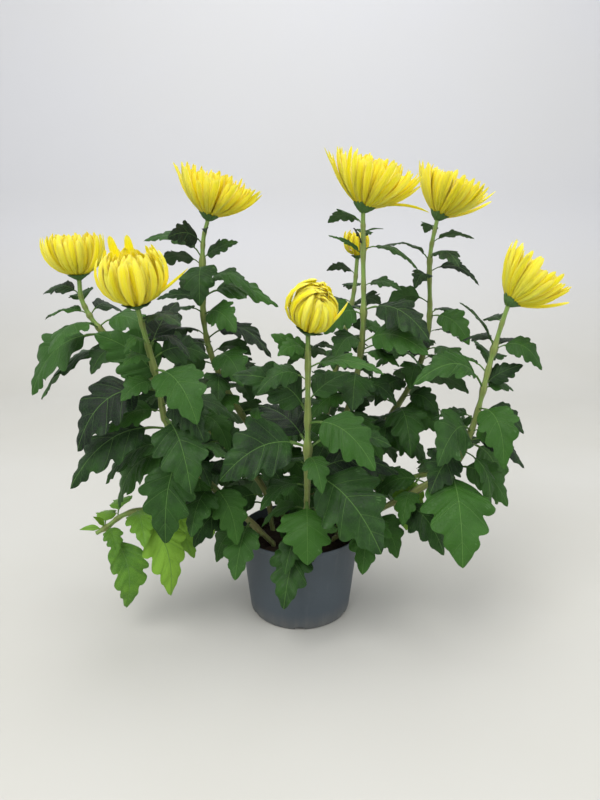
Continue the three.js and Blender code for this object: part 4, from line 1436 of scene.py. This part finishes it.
def floor_material():
    shader = Shader("floor")
    color = shader.coats(
        (193, 192, 185),
        # Painted light: the stage turns lighter and cooler from the floor up to half a metre, so
        # the wall looks more brightly lit than the floor.
        (shader.step(shader.height(), 0, 0.5), (206, 207, 211)),
        (shader.step(shader.noise(shader.place(), 2), 0.3, 0.7, 0, 0.3), (206, 206, 204)),
    )
    return shader.finish(color, 0.6, {"Specular IOR Level": 0.2})


# The whole plant, its stage, its light and the camera


def make_leaves(name, leaves, path, material):
    draw = random_from(ord(name[0]) * TINT_SEED)
    piece = Piece()
    grown = "bloom" in STEMS[name]
    for leaf in leaves:
        tint = between(*TINT, draw()) * between(*TINT_BY_HEIGHT, leaf.along)
        add_leaf(piece, leaf, np.clip(tint if grown else tint - YOUNG_TINT, 0, 1))
    if grown:
        add_cup(piece, name, path)
    return build_green(piece, "leaves", name, material)


def fill_leaves(paths, leaves, room):
    """Sets later leaves where the first ones left room."""
    grid = Grid(room)
    for owner, path in paths.items():
        for leaf in leaves[owner]:
            grid.mark(leaf.spread(), FILL_CLEARANCE)
        steps = round(path.length() / CELL)
        grid.mark(path.at(np.arange(steps + 1) / steps), FILL_STEM_CLEARANCE)
    for owner, path in paths.items():
        draw = random_from(ord(owner[0]) * FILL_SEED)
        count = round(path.length() / FILL_SPACING)
        first = draw() * FULL_TURN
        for index in range(count):
            along = between(LOWEST_FILL, TOPMOST_FILL, index / (count - 1))
            azimuth = first + index * GOLDEN_ANGLE
            size = between(*FILL_LEAF, draw()) * between(*FILL_TAPER, along)
            turn_out = between(*FILL_FACING, draw())
            if along > DENSE_BELOW and index % FEW_ABOVE != 0:
                continue
            for leaf in spiral_offers(path, along, azimuth, size, draw, turn_out):
                points = leaf.spread()
                if grid.holds(points[leaf.free(points)]):
                    leaves[owner].append(leaf)
                    grid.mark(points, FILL_CLEARANCE)
                    break


def make_plant():
    paths = {name: Path(*stem["path"]) for name, stem in STEMS.items()}
    leaves, room = grow_leaves(paths)
    fill_leaves(paths, leaves, room)
    green = leaf_material("leaf", *LEAF_GREENS)
    bright = leaf_material("young_leaf", *YOUNG_GREENS)
    stalk = stalk_material()
    petal = petal_material()
    for name, path in paths.items():
        make_stalk(name, path, leaves[name], stalk)
        if "bloom" in STEMS[name]:
            make_leaves(name, leaves[name], path, green)
            make_bloom(name, path, petal)
        else:
            make_leaves(name, leaves[name], path, bright)
    make_pot(pot_material())
    make_soil(soil_material())


def make_stage():
    """A pale floor that curves up into a wall behind."""
    line = [(STAGE_FRONT, 0.0)]
    for a in np.linspace(0, math.pi / 2, 17):
        line.append((STAGE_BACK + STAGE_CURVE * math.sin(a), STAGE_CURVE * (1 - math.cos(a))))
    line.append((STAGE_BACK + STAGE_CURVE, STAGE_TOP))
    points = [(x, y, z) for y, z in line for x in (-STAGE_HALF_WIDTH, STAGE_HALF_WIDTH)]
    faces = [(2 * row, 2 * row + 1, 2 * row + 3, 2 * row + 2) for row in range(len(line) - 1)]
    mesh = bpy.data.meshes.new("stage")
    mesh.from_pydata(points, [], faces)
    mesh.shade_smooth()
    mesh.materials.append(floor_material())
    obj = add_object("stage", mesh)


def add_light(name, place, size, power, color):
    """A round soft light turned to the plant."""
    data = bpy.data.lights.new(name, "AREA")
    data.shape = "DISK"
    data.size = size
    data.energy = power
    data.color = color
    obj = add_object(name, data)
    obj.location = place
    way = Vector(LIT_PLACE) - Vector(place)
    obj.rotation_euler = way.to_track_quat("-Z", "Y").to_euler()


def make_light():
    for name, light in LIGHTS.items():
        add_light(name, *light)
    world = bpy.data.worlds.new("room")
    world.use_nodes = True
    background = world.node_tree.nodes["Background"]
    background.inputs["Color"].default_value = ROOM_COLOR
    background.inputs["Strength"].default_value = ROOM_STRENGTH
    bpy.context.scene.world = world


def make_camera():
    data = bpy.data.cameras.new("camera")
    data.lens = LENS
    data.sensor_width = SENSOR
    obj = add_object("camera", data)
    obj.location = CAMERA_PLACE
    obj.rotation_euler = (math.radians(90 - CAMERA_PITCH), 0, 0)
    bpy.context.scene.camera = obj
    bpy.context.scene.view_settings.view_transform = "Standard"


make_plant()
make_stage()
make_light()
make_camera()
